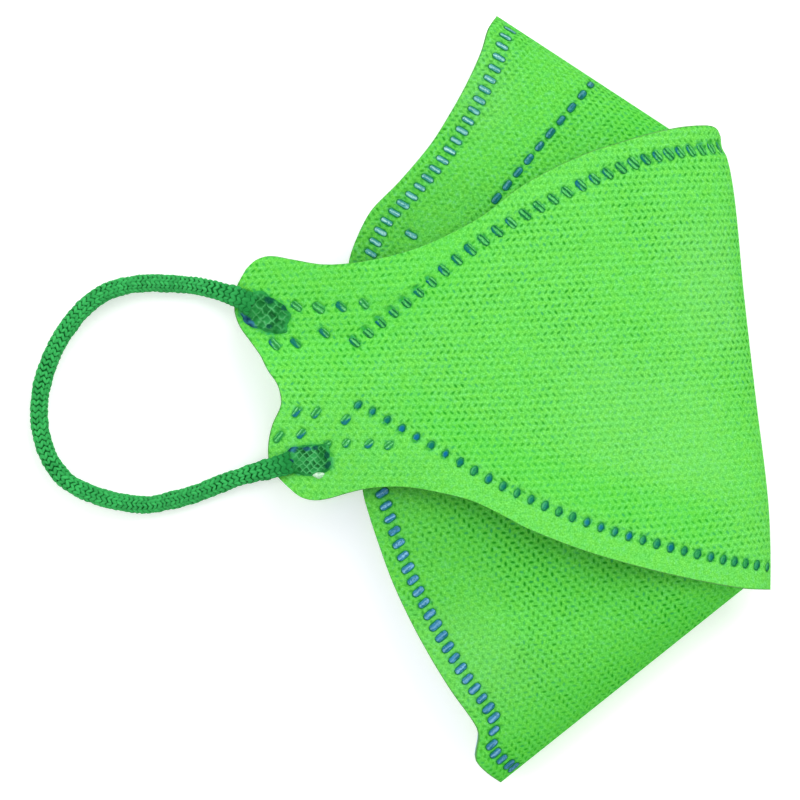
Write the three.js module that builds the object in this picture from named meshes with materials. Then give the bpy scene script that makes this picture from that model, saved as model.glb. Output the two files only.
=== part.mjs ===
// A three-panel respirator mask, folded in half along the middle of the face and laid on its side.
// Millimetres. +Z is up from the surface it lies on, +Y points to the nose end, +X to the centre fold.
//
// A broad centre panel runs from one ear tab round the fold to the other. A nose panel and a chin
// panel are welded to it along two curved seams, and each is folded in half along its own ridge.
// Every panel is mirrored in a level middle plane, so one half of it lies above the other.

import * as THREE from 'three';

// Driving dimensions
const wall = 1.2; // outer cloth, filter layers and inner cloth pressed together
const clearance = 0.3; // air between one piece and the next
const middleHeight = 12; // the middle plane above the resting surface
const loopDiameter = 3.5; // knitted elastic ear loop
const weldThickness = 0.9; // the loop's end where it is pressed flat
const centring = { x: 0.2, y: -0.3 }; // brings the middle of the panels' outline to the origin

// Section of one half, square to the centre fold: distance from the fold, rise off the middle plane.
const section = {
  foldHandle: 4.8, // sets how round the fold is
  crownHandle: 21,
  crownStart: 33, // the half lies level from here
  crownEnd: 55, // to here
  tabHandle: 20,
  tabEnd: 104,
  tabRise: 4.8,
};

// Beyond the seams the centre panel stands off the panel underneath it.
const flare = { rise: 2.4, reach: 6.5, from: 42, full: 66 };

// Centre fold line
const foldLine = [
  { height: -40, x: 50.9 },
  { height: -27, x: 50.9 },
  { height: -17, x: 50.3 },
  { height: 0, x: 48.2 },
  { height: 21, x: 45.8 },
  { height: 35, x: 44.5 },
  { height: 42, x: 43.6 },
  { height: 46.5, x: 42.6 },
  { height: 48.6, x: 41.6 },
  { height: 54, x: 41.4 },
];

// Seam lines, from the fold to the ear tab
const noseSeam = [
  { fromFold: 0, height: 48.6 },
  { fromFold: 14.8, height: 46.2 },
  { fromFold: 27.7, height: 41.6 },
  { fromFold: 40.9, height: 35.2 },
  { fromFold: 51.6, height: 28.7 },
  { fromFold: 61.9, height: 20.9 },
  { fromFold: 75.3, height: 11.2 },
];
const chinSeam = [
  { fromFold: 0, height: -31.7 },
  { fromFold: 9, height: -30.2 },
  { fromFold: 19, height: -27.9 },
  { fromFold: 29.6, height: -24.9 },
  { fromFold: 40, height: -21.1 },
  { fromFold: 50.6, height: -16.1 },
  { fromFold: 60.9, height: -9.9 },
  { fromFold: 75.5, height: -0.8 },
];

// Outline of the centre panel: flange edges above and below, and the ear tab's end between them
const noseFlange = [
  { fromFold: 0.0, height: 50.4 },
  { fromFold: 0.6, height: 51.7 },
  { fromFold: 1.8, height: 52.4 },
  { fromFold: 4.0, height: 52.5 },
  { fromFold: 7.8, height: 52.1 },
  { fromFold: 13.5, height: 50.9 },
  { fromFold: 20.0, height: 49 },
  { fromFold: 27.2, height: 46.9 },
  { fromFold: 34.3, height: 44 },
  { fromFold: 41.2, height: 40.4 },
  { fromFold: 48.2, height: 35.5 },
  { fromFold: 54.9, height: 31.9 },
  { fromFold: 61.6, height: 29.1 },
  { fromFold: 68.1, height: 27.3 },
  { fromFold: 74.6, height: 26.2 },
  { fromFold: 80.2, height: 26 },
  { fromFold: 86.0, height: 27 },
  { fromFold: 89.7, height: 27.6 },
  { fromFold: 92.5, height: 26.8 },
  { fromFold: 94.5, height: 25.1 },
];
const chinFlange = [
  { fromFold: 0.0, height: -36 },
  { fromFold: 5.2, height: -35.7 },
  { fromFold: 14.2, height: -34.1 },
  { fromFold: 24.9, height: -31.6 },
  { fromFold: 35.5, height: -28.5 },
  { fromFold: 46.0, height: -24.4 },
  { fromFold: 51.2, height: -21.6 },
  { fromFold: 56.3, height: -19.1 },
  { fromFold: 61.7, height: -17.6 },
  { fromFold: 66.9, height: -16.6 },
  { fromFold: 70.2, height: -16.3 },
  { fromFold: 73.8, height: -16.4 },
  { fromFold: 77.1, height: -16.8 },
  { fromFold: 80.5, height: -17.6 },
  { fromFold: 84.0, height: -18.6 },
  { fromFold: 86.7, height: -18.9 },
  { fromFold: 89.2, height: -18.2 },
  { fromFold: 91.4, height: -16.3 },
  { fromFold: 92.6, height: -15 },
];
const tabEnd = [
  { height: -15, fromFold: 92.6 },
  { height: -12.7, fromFold: 94.2 },
  { height: -10.3, fromFold: 94.4 },
  { height: -7.4, fromFold: 93.9 },
  { height: -4.4, fromFold: 92.8 },
  { height: -1.3, fromFold: 91.0 },
  { height: 0.4, fromFold: 90.6 },
  { height: 3.2, fromFold: 91.0 },
  { height: 5.9, fromFold: 92.5 },
  { height: 8.7, fromFold: 93.6 },
  { height: 11.4, fromFold: 95.2 },
  { height: 14.1, fromFold: 96.8 },
  { height: 16.9, fromFold: 97.5 },
  { height: 19.2, fromFold: 97.2 },
  { height: 21.7, fromFold: 96.6 },
  { height: 25.1, fromFold: 94.5 },
];

// Panels folded out beyond the seams. Their free edges lie back from the ridge's tip.
const nosePanel = {
  name: 'nose_panel',
  tip: { x: -1.8, y: 73.8 },
  seam: noseSeam,
  pastSeam: 0, // the panel turns out this far past the weld line
  drawnIn: 3.5, // and its ridge sits this far inside the centre fold
  freeEdge: [
    { fromRidge: 0, back: 0.6 },
    { fromRidge: 2.7, back: 0.6 },
    { fromRidge: 7.4, back: 1.9 },
    { fromRidge: 14.8, back: 3.0 },
    { fromRidge: 22.7, back: 3.5 },
    { fromRidge: 28, back: 3.5 },
    { fromRidge: 36.9, back: 2.4 },
    { fromRidge: 43.2, back: 1.1 },
    { fromRidge: 46, back: 1.0 },
    { fromRidge: 51, back: 1.7 },
    { fromRidge: 54.8, back: 2.8 },
    { fromRidge: 68, back: 9.5 },
  ],
};
const chinPanel = {
  name: 'chin_panel',
  tip: { x: -0.7, y: -72.9 },
  seam: chinSeam,
  pastSeam: 1.4,
  drawnIn: 0,
  freeEdge: [
    { fromRidge: 0, back: 0.2 },
    { fromRidge: 3.3, back: -0.7 },
    { fromRidge: 6.2, back: -0.8 },
    { fromRidge: 7.9, back: 0.7 },
    { fromRidge: 9.5, back: 2.5 },
    { fromRidge: 11.7, back: 3.3 },
    { fromRidge: 20, back: 3.8 },
    { fromRidge: 28, back: 4.8 },
    { fromRidge: 35.6, back: 6.2 },
    { fromRidge: 42.9, back: 8.0 },
    { fromRidge: 49.8, back: 10.3 },
    { fromRidge: 56.5, back: 12.8 },
    { fromRidge: 59.8, back: 14.3 },
    { fromRidge: 76, back: 24 },
  ],
};
const drawReach = 6; // how soon a panel drawn in at its ridge is back under the seam

// One ear loop from the nose end of the tab round to the chin end. lift is 1 at the height of the
// tab's face and 0 where the loop lies.
const loopRoute = [
  { x: -50.6, y: 19.7, lift: 1 },
  { x: -54.0, y: 20.9, lift: 0.94 },
  { x: -58.5, y: 21.9, lift: 0.76 },
  { x: -63.1, y: 22.4, lift: 0.52 },
  { x: -67.7, y: 22.5, lift: 0.3 },
  { x: -72.4, y: 22.0, lift: 0.13 },
  { x: -76.6, y: 20.5, lift: 0.04 },
  { x: -80.4, y: 17.6, lift: 0 },
  { x: -84.0, y: 13.1, lift: 0 },
  { x: -86.8, y: 7.6, lift: 0 },
  { x: -88.5, y: 1.8, lift: 0 },
  { x: -88.7, y: -4.2, lift: 0 },
  { x: -87.2, y: -10.2, lift: 0 },
  { x: -83.7, y: -15.1, lift: 0 },
  { x: -78.4, y: -17.9, lift: 0.03 },
  { x: -72.8, y: -19.4, lift: 0.12 },
  { x: -67.7, y: -19.8, lift: 0.28 },
  { x: -63.1, y: -18.9, lift: 0.47 },
  { x: -58.5, y: -17.6, lift: 0.7 },
  { x: -54.0, y: -15.8, lift: 0.9 },
  { x: -49.4, y: -14.2, lift: 1 },
  { x: -45.4, y: -13.1, lift: 1.02 },
  { x: -42.2, y: -12.2, lift: 1.02 },
];
const loopSteps = 18;
const loopSides = 8;
const loopEnds = [
  { name: 'nose_end', x: -45.8, y: 16.7, length: 9.8, width: 6.6, heading: -21 },
  { name: 'chin_end', x: -37.2, y: -11.4, length: 9, width: 6.3, heading: 8 },
];

const cloth = new THREE.MeshStandardMaterial({ color: 0x6ce158, roughness: 0.85, metalness: 0 });
const elastic = new THREE.MeshStandardMaterial({ color: 0x1f8f45, roughness: 0.8, metalness: 0 });

// A smooth function through the rows of a table, from one named column to another, level past its ends
function through(rows, from, to) {
  const at = (i) => rows[Math.min(Math.max(i, 0), rows.length - 1)];
  const slope = (i) => (at(i + 1)[to] - at(i - 1)[to]) / (at(i + 1)[from] - at(i - 1)[from]);
  return (value) => {
    let i = 0;
    while (i < rows.length - 2 && value > rows[i + 1][from]) i += 1;
    const span = rows[i + 1][from] - rows[i][from];
    const t = THREE.MathUtils.clamp((value - rows[i][from]) / span, 0, 1);
    const rise = rows[i + 1][to] - rows[i][to];
    const start = slope(i) * span;
    const end = slope(i + 1) * span;
    return rows[i][to] + t * start
      + t * t * (3 * rise - 2 * start - end)
      + t * t * t * (start + end - 2 * rise);
  };
}

const foldX = through(foldLine, 'height', 'x');
const noseSeamHeight = through(noseSeam, 'fromFold', 'height');
const chinSeamHeight = through(chinSeam, 'fromFold', 'height');
const noseFlangeHeight = through(noseFlange, 'fromFold', 'height');
const chinFlangeHeight = through(chinFlange, 'fromFold', 'height');
const tabEndFromFold = through(tabEnd, 'height', 'fromFold');

// The section as one path: round fold and shoulder, level crown, slope down to the tab
const sectionPath = new THREE.CurvePath();
sectionPath.add(new THREE.CubicBezierCurve(
  new THREE.Vector2(0, 0),
  new THREE.Vector2(0, section.foldHandle),
  new THREE.Vector2(section.crownStart - section.crownHandle, middleHeight),
  new THREE.Vector2(section.crownStart, middleHeight),
));
sectionPath.add(new THREE.LineCurve(
  new THREE.Vector2(section.crownStart, middleHeight),
  new THREE.Vector2(section.crownEnd, middleHeight),
));
sectionPath.add(new THREE.CubicBezierCurve(
  new THREE.Vector2(section.crownEnd, middleHeight),
  new THREE.Vector2(section.crownEnd + section.tabHandle, middleHeight),
  new THREE.Vector2(section.tabEnd - section.tabHandle, section.tabRise),
  new THREE.Vector2(section.tabEnd, section.tabRise),
));
const sectionLength = sectionPath.getLength();

// Distance from the fold and rise off the middle plane, at a length along the section, this deep in
function sectionPoint(along, depth) {
  const share = along / sectionLength;
  const point = sectionPath.getPoint(share);
  const step = 0.0005;
  const ahead = sectionPath.getPoint(Math.min(share + step, 1));
  const behind = sectionPath.getPoint(Math.max(share - step, 0));
  const tangent = share < step ? new THREE.Vector2(0, 1) : ahead.sub(behind).normalize();
  return { fromFold: point.x + tangent.y * depth, rise: point.y - tangent.x * depth };
}

// The length along the section that lies this far from the fold
function alongAt(fromFold) {
  let low = 0;
  let high = sectionLength;
  while (high - low > 0.001) {
    const middle = (low + high) / 2;
    if (sectionPoint(middle, 0).fromFold < fromFold) low = middle;
    else high = middle;
  }
  return (low + high) / 2;
}

// A point of the centre panel. along is counted from the fold, plus above the middle plane and
// minus below it, and depth is counted in from the outer face.
function centrePoint(along, height, depth) {
  const { fromFold, rise } = sectionPoint(Math.abs(along), depth);
  const outerRise = sectionPoint(Math.abs(along), 0).rise;
  const past = Math.max(height - noseSeamHeight(fromFold), chinSeamHeight(fromFold) - height, 0);
  const spread = THREE.MathUtils.smoothstep(fromFold, flare.from, flare.full);
  const wanted = flare.rise * spread * (1 - Math.exp(-past / flare.reach));
  const lift = Math.min(wanted, middleHeight - outerRise);
  const side = along < 0 ? -1 : 1;
  return new THREE.Vector3(foldX(height) - fromFold, height, middleHeight + side * (rise + lift));
}

// The panel's flat pattern, filled in between its four edges: share runs from the fold to the tab's
// end and climb from the chin flange to the nose flange.
const noseCorner = noseFlange.at(-1);
const chinCorner = chinFlange.at(-1);
const noseCornerAlong = alongAt(noseCorner.fromFold);
const chinCornerAlong = alongAt(chinCorner.fromFold);

function patternPoint(share, climb) {
  const mix = THREE.MathUtils.lerp;
  const noseAlong = noseCornerAlong * share;
  const chinAlong = chinCornerAlong * share;
  const noseEdge = noseFlangeHeight(sectionPoint(noseAlong, 0).fromFold);
  const chinEdge = chinFlangeHeight(sectionPoint(chinAlong, 0).fromFold);
  const foldHeight = mix(chinFlange[0].height, noseFlange[0].height, climb);
  const endHeight = mix(chinCorner.height, noseCorner.height, climb);
  const endAlong = alongAt(tabEndFromFold(endHeight));
  const along = mix(chinAlong, noseAlong, climb) + share * endAlong
    - share * mix(chinCornerAlong, noseCornerAlong, climb);
  const height = mix(chinEdge, noseEdge, climb) + mix(foldHeight, endHeight, share)
    - mix(foldHeight, mix(chinCorner.height, noseCorner.height, climb), share);
  return { along, height };
}

// Shares from 0 to 1, closer together at both ends
function closerAtEnds(count, crowding) {
  return Array.from({ length: count + 1 }, (_, i) => {
    const share = i / count;
    return share - crowding * Math.sin(2 * Math.PI * share) / (2 * Math.PI);
  });
}

// Shares from -1 to 1 over both halves, from the shares of one half
const bothHalves = (shares) => [...shares.slice(1).reverse().map((share) => -share), ...shares];

// A closed wall between two grids of points with the same rows and columns
function wallBetween(outer, inner) {
  const rows = outer.length;
  const columns = outer[0].length;
  const inside = rows * columns;
  const number = (row, column) => row * columns + column;
  const index = [];
  const quad = (a, b, c, d) => index.push(a, b, c, a, c, d);
  for (let row = 0; row + 1 < rows; row += 1) {
    for (let column = 0; column + 1 < columns; column += 1) {
      const corners = [number(row, column), number(row, column + 1),
        number(row + 1, column + 1), number(row + 1, column)];
      quad(...corners);
      quad(...corners.reverse().map((corner) => corner + inside));
    }
  }
  const rim = [];
  for (let column = 0; column + 1 < columns; column += 1) rim.push(number(0, column));
  for (let row = 0; row + 1 < rows; row += 1) rim.push(number(row, columns - 1));
  for (let column = columns - 1; column > 0; column -= 1) rim.push(number(rows - 1, column));
  for (let row = rows - 1; row > 0; row -= 1) rim.push(number(row, 0));
  rim.forEach((corner, i) => {
    const next = rim[(i + 1) % rim.length];
    quad(next, corner, corner + inside, next + inside);
  });
  const geometry = new THREE.BufferGeometry();
  const points = [...outer.flat(), ...inner.flat()].flatMap((point) => point.toArray());
  geometry.setAttribute('position', new THREE.Float32BufferAttribute(points, 3));
  geometry.setIndex(facingOut(points, index));
  return geometry;
}

// The triangles turned round where they enclose a negative volume
function facingOut(points, index) {
  const corner = (i) => new THREE.Vector3().fromArray(points, index[i] * 3);
  let volume = 0;
  for (let i = 0; i < index.length; i += 3) {
    volume += corner(i).dot(corner(i + 1).cross(corner(i + 2)));
  }
  return volume < 0 ? index.reverse() : index;
}

function piece(name, geometry, material) {
  const mesh = new THREE.Mesh(geometry, material.clone());
  mesh.name = name;
  return mesh;
}

// Centre panel, one sheet from tab to tab round the fold
function centrePanel() {
  const shares = bothHalves(closerAtEnds(26, 0.74));
  const climbs = closerAtEnds(20, 0.3);
  const face = (depth) => climbs.map((climb) => shares.map((share) => {
    const { along, height } = patternPoint(Math.abs(share), climb);
    return centrePoint(Math.sign(share) * along, height, depth);
  }));
  return piece('centre_panel', wallBetween(face(0), face(wall)), cloth);
}

// A panel that runs out from under a seam. It is bent one way only: every line along it keeps the
// ridge's direction, from the seam to the free edge.
function outerPanel({ name, tip, seam, pastSeam, drawnIn, freeEdge }) {
  const depth = wall + clearance;
  const seamHeight = through(seam, 'fromFold', 'height');
  const back = through(freeEdge, 'fromRidge', 'back');
  const outward = Math.sign(tip.y);
  const reach = alongAt(seam.at(-1).fromFold);
  const shares = bothHalves(closerAtEnds(20, 0.6));
  const seamPoints = shares.map((share) => {
    const { fromFold, rise } = sectionPoint(Math.abs(share) * reach, depth);
    const inset = fromFold + drawnIn * Math.exp(-fromFold / drawReach);
    const height = seamHeight(inset) + outward * pastSeam;
    return new THREE.Vector3(foldX(height) - inset, height, Math.sign(share) * rise);
  });
  const tipPoint = new THREE.Vector3(tip.x, tip.y, 0);
  const ridge = seamPoints[shares.indexOf(0)].clone().setZ(0).sub(tipPoint).negate().normalize();
  const across = new THREE.Vector3(-outward * ridge.y, outward * ridge.x, 0);
  const face = seamPoints.map((point, i) => {
    const before = seamPoints[Math.max(i - 1, 0)];
    const after = seamPoints[Math.min(i + 1, seamPoints.length - 1)];
    const tangent = after.clone().sub(before);
    const inward = new THREE.Vector3().addScaledVector(across, tangent.z);
    inward.z = -tangent.dot(across);
    inward.normalize();
    const fromTip = point.clone().sub(tipPoint);
    const length = -back(fromTip.dot(across)) - fromTip.dot(ridge);
    return { point, inward, length };
  });
  const lines = (deep) => [0, 0.5, 1].map((out) => face.map(({ point, inward, length }) => (
    point.clone()
      .addScaledVector(ridge, out * length)
      .addScaledVector(inward, deep)
      .add(new THREE.Vector3(0, 0, middleHeight))
  )));
  return piece(name, wallBetween(lines(0), lines(wall)), cloth);
}

// A loop's pressed end: a thin pad on the tab's outer face, narrow where the loop runs into it
function loopWeld(loop, side, { name, x, y, length, width, heading }) {
  const turn = THREE.MathUtils.degToRad(heading);
  const columns = 7;
  const face = (depth) => [-1, -0.5, 0, 0.5, 1].map((across) => (
    Array.from({ length: columns }, (_, i) => {
      const out = i / (columns - 1) - 0.5;
      const fullness = Math.sqrt(1 - Math.abs(2 * out * 0.93) ** (out < 0 ? 2.2 : 4));
      const sideways = across * fullness * width / 2;
      const height = y + out * length * Math.sin(turn) + sideways * Math.cos(turn);
      const fromFold = foldX(height) - (x + out * length * Math.cos(turn) - sideways * Math.sin(turn));
      return centrePoint(side * alongAt(fromFold), height, depth);
    })
  ));
  const pad = wallBetween(face(-clearance - weldThickness), face(-clearance));
  return piece(`${loop}_weld_${name}`, pad, elastic);
}

// One ear loop, lying on the surface or on the loop below it between its two ends on the tab
function earLoop(loop, side, lyingHeight) {
  const besideTab = ({ x, y }) => {
    const tabFace = centrePoint(side * alongAt(foldX(y) - x), y, 0).z;
    return Math.max(tabFace + side * (2 * clearance + loopDiameter / 2), lyingHeight);
  };
  const noseEndHeight = besideTab(loopRoute[0]);
  const chinEndHeight = besideTab(loopRoute.at(-1));
  const route = new THREE.CatmullRomCurve3(loopRoute.map(({ x, y, lift }) => {
    const endHeight = y > 0 ? noseEndHeight : chinEndHeight;
    return new THREE.Vector3(x, y, THREE.MathUtils.lerp(lyingHeight, endHeight, lift));
  }));
  const ring = new THREE.Shape(Array.from({ length: loopSides }, (_, i) => {
    const angle = (2 * i + 1) * Math.PI / loopSides;
    return new THREE.Vector2(Math.cos(angle), Math.sin(angle)).multiplyScalar(loopDiameter / 2);
  }));
  const tube = new THREE.ExtrudeGeometry(ring, {
    extrudePath: route, steps: loopSteps, bevelEnabled: false,
  });
  return piece(`${loop}_loop`, tube, elastic);
}

const mask = new THREE.Group();
mask.position.set(centring.x, centring.y, 0);
mask.add(centrePanel(), outerPanel(nosePanel), outerPanel(chinPanel));
const floorLoopHeight = loopDiameter / 2 + 0.05;
const loops = [
  { loop: 'far', side: -1, lyingHeight: floorLoopHeight },
  { loop: 'near', side: 1, lyingHeight: floorLoopHeight + loopDiameter + clearance },
];
for (const { loop, side, lyingHeight } of loops) {
  mask.add(earLoop(loop, side, lyingHeight));
  for (const end of loopEnds) mask.add(loopWeld(loop, side, end));
}

export default mask;
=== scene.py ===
import math

import bmesh
import bpy
import numpy as np
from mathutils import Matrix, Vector


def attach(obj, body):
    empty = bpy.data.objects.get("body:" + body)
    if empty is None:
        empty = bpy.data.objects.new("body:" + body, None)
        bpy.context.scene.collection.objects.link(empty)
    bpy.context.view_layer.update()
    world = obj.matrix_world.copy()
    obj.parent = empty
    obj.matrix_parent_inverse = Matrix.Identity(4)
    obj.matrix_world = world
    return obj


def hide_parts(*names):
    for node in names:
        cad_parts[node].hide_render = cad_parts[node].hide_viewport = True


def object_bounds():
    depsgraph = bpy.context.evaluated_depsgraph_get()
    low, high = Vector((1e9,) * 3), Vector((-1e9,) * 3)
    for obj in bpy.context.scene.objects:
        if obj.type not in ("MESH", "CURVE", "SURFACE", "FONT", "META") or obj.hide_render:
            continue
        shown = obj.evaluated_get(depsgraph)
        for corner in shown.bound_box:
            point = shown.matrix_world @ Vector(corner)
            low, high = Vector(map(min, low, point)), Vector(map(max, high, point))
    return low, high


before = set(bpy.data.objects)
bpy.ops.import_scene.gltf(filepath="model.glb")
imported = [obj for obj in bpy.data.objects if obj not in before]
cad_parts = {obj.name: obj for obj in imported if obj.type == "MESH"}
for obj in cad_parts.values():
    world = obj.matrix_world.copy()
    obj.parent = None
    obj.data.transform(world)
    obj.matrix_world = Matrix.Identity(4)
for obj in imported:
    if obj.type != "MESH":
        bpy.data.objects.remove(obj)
cad_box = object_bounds()


# The mask lies on a plain white light table in a white room with a bright ceiling. A broad soft lamp
# hangs beyond the nose end, and a weaker one on the side of the loops. The camera looks straight
# down from three metres above the mask.
class Wire:
    """An output of a node. Sums that are written with it become Math nodes."""

    def __init__(self, bench, socket):
        self.bench = bench
        self.socket = socket

    def other(self, name):
        return Wire(self.bench, self.bench.named(self.socket.node.outputs, name))

    def math(self, operation, *others):
        """This wire and the others through one Math node."""
        values = dict(enumerate((self, *others)))
        return self.bench.node("ShaderNodeMath", {"operation": operation}, values)

    def __add__(self, value):
        return self.math("ADD", value)

    __radd__ = __add__

    def __sub__(self, value):
        return self.math("SUBTRACT", value)

    def __rsub__(self, value):
        return self.bench.node("ShaderNodeMath", {"operation": "SUBTRACT"}, {0: value, 1: self})

    def __mul__(self, value):
        return self.math("MULTIPLY", value)

    __rmul__ = __mul__

    def __truediv__(self, value):
        return self.math("DIVIDE", value)

    def __pow__(self, value):
        return self.math("POWER", value)

    def __abs__(self):
        return self.math("ABSOLUTE")


class Bench:
    """A node tree in the making. Every node of it is put in by node()."""

    def __init__(self, tree):
        self.tree = tree

    def named(self, sockets, name):
        if isinstance(name, int):
            return sockets[name]
        return next(s for s in sockets if s.enabled and s.name == name)

    def node(self, kind, settings=None, sockets=None, output=None):
        made = self.tree.nodes.new(kind)
        for name, value in (settings or {}).items():
            setattr(made, name, value)
        for name, value in (sockets or {}).items():
            socket = self.named(made.inputs, name)
            for one in value if isinstance(value, list) else [value]:
                if isinstance(one, Wire):
                    self.tree.links.new(one.socket, socket)
                else:
                    socket.default_value = one
        if output is None:
            found = next((s for s in made.outputs if s.enabled), None)
        else:
            found = self.named(made.outputs, output)
        return Wire(self, found)

    def vector(self, x, y, z):
        return self.node("ShaderNodeCombineXYZ", {}, {"X": x, "Y": y, "Z": z})

    def parts(self, vector):
        """The X of a vector. Its other() gives Y and Z."""
        return self.node("ShaderNodeSeparateXYZ", {}, {"Vector": vector}, output="X")

    def stored(self, geometry, name, value, kind="FLOAT", domain="POINT"):
        """The geometry, with a value on it under a name. kept() reads it again."""
        return self.node(
            "GeometryNodeStoreNamedAttribute", {"data_type": kind, "domain": domain},
            {"Geometry": geometry, "Name": name, "Value": value},
        )

    def kept(self, name, kind="FLOAT"):
        return self.node("GeometryNodeInputNamedAttribute", {"data_type": kind}, {"Name": name})

    def chance(self, low, high, seed):
        """A random value between two others for each point or piece."""
        return self.node(
            "FunctionNodeRandomValue", {"data_type": "FLOAT"},
            {"Min": low, "Max": high, "Seed": seed},
        )

    def facing(self, up, along):
        """The rotation that points Z up and turns X along."""
        kind = "FunctionNodeAlignRotationToVector"
        upright = self.node(kind, {"axis": "Z", "pivot_axis": "AUTO"}, {"Vector": up})
        return self.node(
            kind, {"axis": "X", "pivot_axis": "Z"}, {"Rotation": upright, "Vector": along},
        )

    def tube(self, line, ring, more):
        """A ring swept along a line, with more sockets set."""
        return self.node("GeometryNodeCurveToMesh", {}, {"Curve": line, "Profile Curve": ring, **more})

    def end(self, geometry, material):
        """Ends a Geometry Nodes tree in this geometry, with a material on it."""
        shown = self.node(
            "GeometryNodeSetMaterial", {}, {"Geometry": geometry, "Material": material},
        )
        self.node("NodeGroupOutput", {}, {"Geometry": shown})
        return self.tree


class Finish(Bench):
    """A material in the making."""

    def __init__(self, name):
        self.material = bpy.data.materials.new(name)
        self.material.use_nodes = True
        self.material.node_tree.nodes.clear()
        super().__init__(self.material.node_tree)

    def place(self):
        return self.node("ShaderNodeTexCoord", output="Object")

    def mixed(self, share, first, second):
        return self.node(
            "ShaderNodeMix",
            {"data_type": "RGBA", "clamp_factor": True},
            {"Factor": share, "A": first, "B": second},
        )

    def eased(self, value, start, end):
        """0 at start and 1 at end, smooth between them."""
        return self.node(
            "ShaderNodeMapRange",
            {"interpolation_type": "SMOOTHSTEP"},
            {"Value": value, "From Min": start, "From Max": end, "To Min": 0.0, "To Max": 1.0},
        )

    def noise(self, place, scale, detail=2.0, roughness=0.5):
        return self.node(
            "ShaderNodeTexNoise",
            {},
            {"Vector": place, "Scale": scale, "Detail": detail, "Roughness": roughness},
        )

    def attribute(self, name):
        return self.node("ShaderNodeAttribute", {"attribute_name": name}, output="Fac")

    def bump(self, height, depth, strength=0.5):
        return self.node(
            "ShaderNodeBump", {}, {"Strength": strength, "Distance": depth, "Height": height},
        )

    def done(self, sockets):
        """Ends the material in one Principled shader with these sockets."""
        shader = self.node("ShaderNodeBsdfPrincipled", {}, sockets)
        self.node("ShaderNodeOutputMaterial", {}, {"Surface": shader})
        return self.material


lowest, highest = cad_box
middle = (lowest + highest) / 2

table_paper = Finish("table_paper")
paper_place = table_paper.place()
paper_grain = table_paper.noise(paper_place, 40.0)
table_paper.done({
    "Base Color": table_paper.mixed(paper_grain, (0.82, 0.82, 0.82, 1), (0.84, 0.84, 0.84, 1)),
    "Roughness": 0.9,
    "Specular IOR Level": 0.1,
    "Emission Color": (1, 1, 1, 1),
    "Emission Strength": 0.36,
})

table_half = 4.0
table_mesh = bpy.data.meshes.new("light_table")
table_mesh.from_pydata(
    [(x * table_half, y * table_half, lowest.z) for x, y in ((-1, -1), (1, -1), (1, 1), (-1, 1))],
    [],
    [(0, 1, 2, 3)],
)
table_mesh.materials.append(table_paper.material)
light_table = bpy.data.objects.new("light_table", table_mesh)
bpy.context.scene.collection.objects.link(light_table)

room = bpy.data.worlds.new("white_room")
room.use_nodes = True
room.node_tree.nodes.clear()
walls = Bench(room.node_tree)
direction = walls.node("ShaderNodeTexCoord", output="Generated")
climb = walls.parts(direction).other("Z")
overhead = climb.math("MAXIMUM", 0.0)
wall_glow = 0.43
ceiling_glow = 0.71  # on top of the walls' glow, straight overhead
white = walls.node(
    "ShaderNodeBackground", {},
    {"Color": (1, 1, 1, 1), "Strength": overhead * ceiling_glow + wall_glow},
)
walls.node("ShaderNodeOutputWorld", {}, {"Surface": white})
bpy.context.scene.world = room
bpy.context.scene.view_settings.view_transform = "Standard"


def soft_lamp(name, diameter, power, place):
    lamp = bpy.data.lights.new(name, "AREA")
    lamp.shape = "DISK"
    lamp.size = diameter
    lamp.energy = power
    holder = bpy.data.objects.new(name, lamp)
    bpy.context.scene.collection.objects.link(holder)
    holder.location = place
    holder.rotation_mode = "QUATERNION"
    holder.rotation_quaternion = (middle - Vector(place)).to_track_quat("-Z", "Y")
    holder.visible_camera = False


soft_lamp("key_lamp", diameter=1.0, power=8.6, place=(0.34, 0.70, 1.00))
soft_lamp("fill_lamp", diameter=0.8, power=2.2, place=(-0.75, 0.1, 1.0))

camera_height = 3.0  # above the mask's upper side
view_width = 0.152
view_off_middle = (0.00003, 0.00016)
camera = bpy.data.cameras.new("camera")
camera.sensor_width = 36.0
camera.lens = camera.sensor_width * camera_height / view_width
camera.clip_start = 0.1
camera.clip_end = 20.0
camera_holder = bpy.data.objects.new("camera", camera)
camera_holder.location = (
    middle.x - view_off_middle[0], middle.y - view_off_middle[1], highest.z + camera_height,
)
bpy.context.scene.collection.objects.link(camera_holder)
bpy.context.scene.camera = camera_holder


# Two ear loops of green elastic, knitted as a round tube of seven columns of V stitches. Each is
# one length whose two ends are pressed flat on the outside of an ear tab.
cord_diameter = 0.0035
line_step = 0.00025  # between two points of a loop's middle line
lying_height = {"far": 0.0018, "near": 0.0056}
nose_end_height = {"far": 0.00275, "near": 0.02125}
chin_end_height = {"far": 0.00194, "near": 0.02206}
loop_route = [  # across, along, and how far it has climbed from lying to the height of its end
    (-0.0504, 0.0194, 1.0),
    (-0.0538, 0.0206, 0.94),
    (-0.0583, 0.0216, 0.76),
    (-0.0629, 0.0221, 0.52),
    (-0.0675, 0.0222, 0.3),
    (-0.0722, 0.0217, 0.13),
    (-0.0764, 0.0202, 0.04),
    (-0.0802, 0.0173, 0.0),
    (-0.0838, 0.0128, 0.0),
    (-0.0866, 0.0073, 0.0),
    (-0.0883, 0.0015, 0.0),
    (-0.0885, -0.0045, 0.0),
    (-0.0870, -0.0105, 0.0),
    (-0.0835, -0.0154, 0.0),
    (-0.0782, -0.0182, 0.03),
    (-0.0726, -0.0197, 0.12),
    (-0.0675, -0.0201, 0.28),
    (-0.0629, -0.0192, 0.47),
    (-0.0583, -0.0179, 0.7),
    (-0.0538, -0.0161, 0.9),
    (-0.0492, -0.0145, 1.0),
    (-0.0452, -0.0134, 1.02),
    (-0.0420, -0.0125, 1.02),
]


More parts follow.
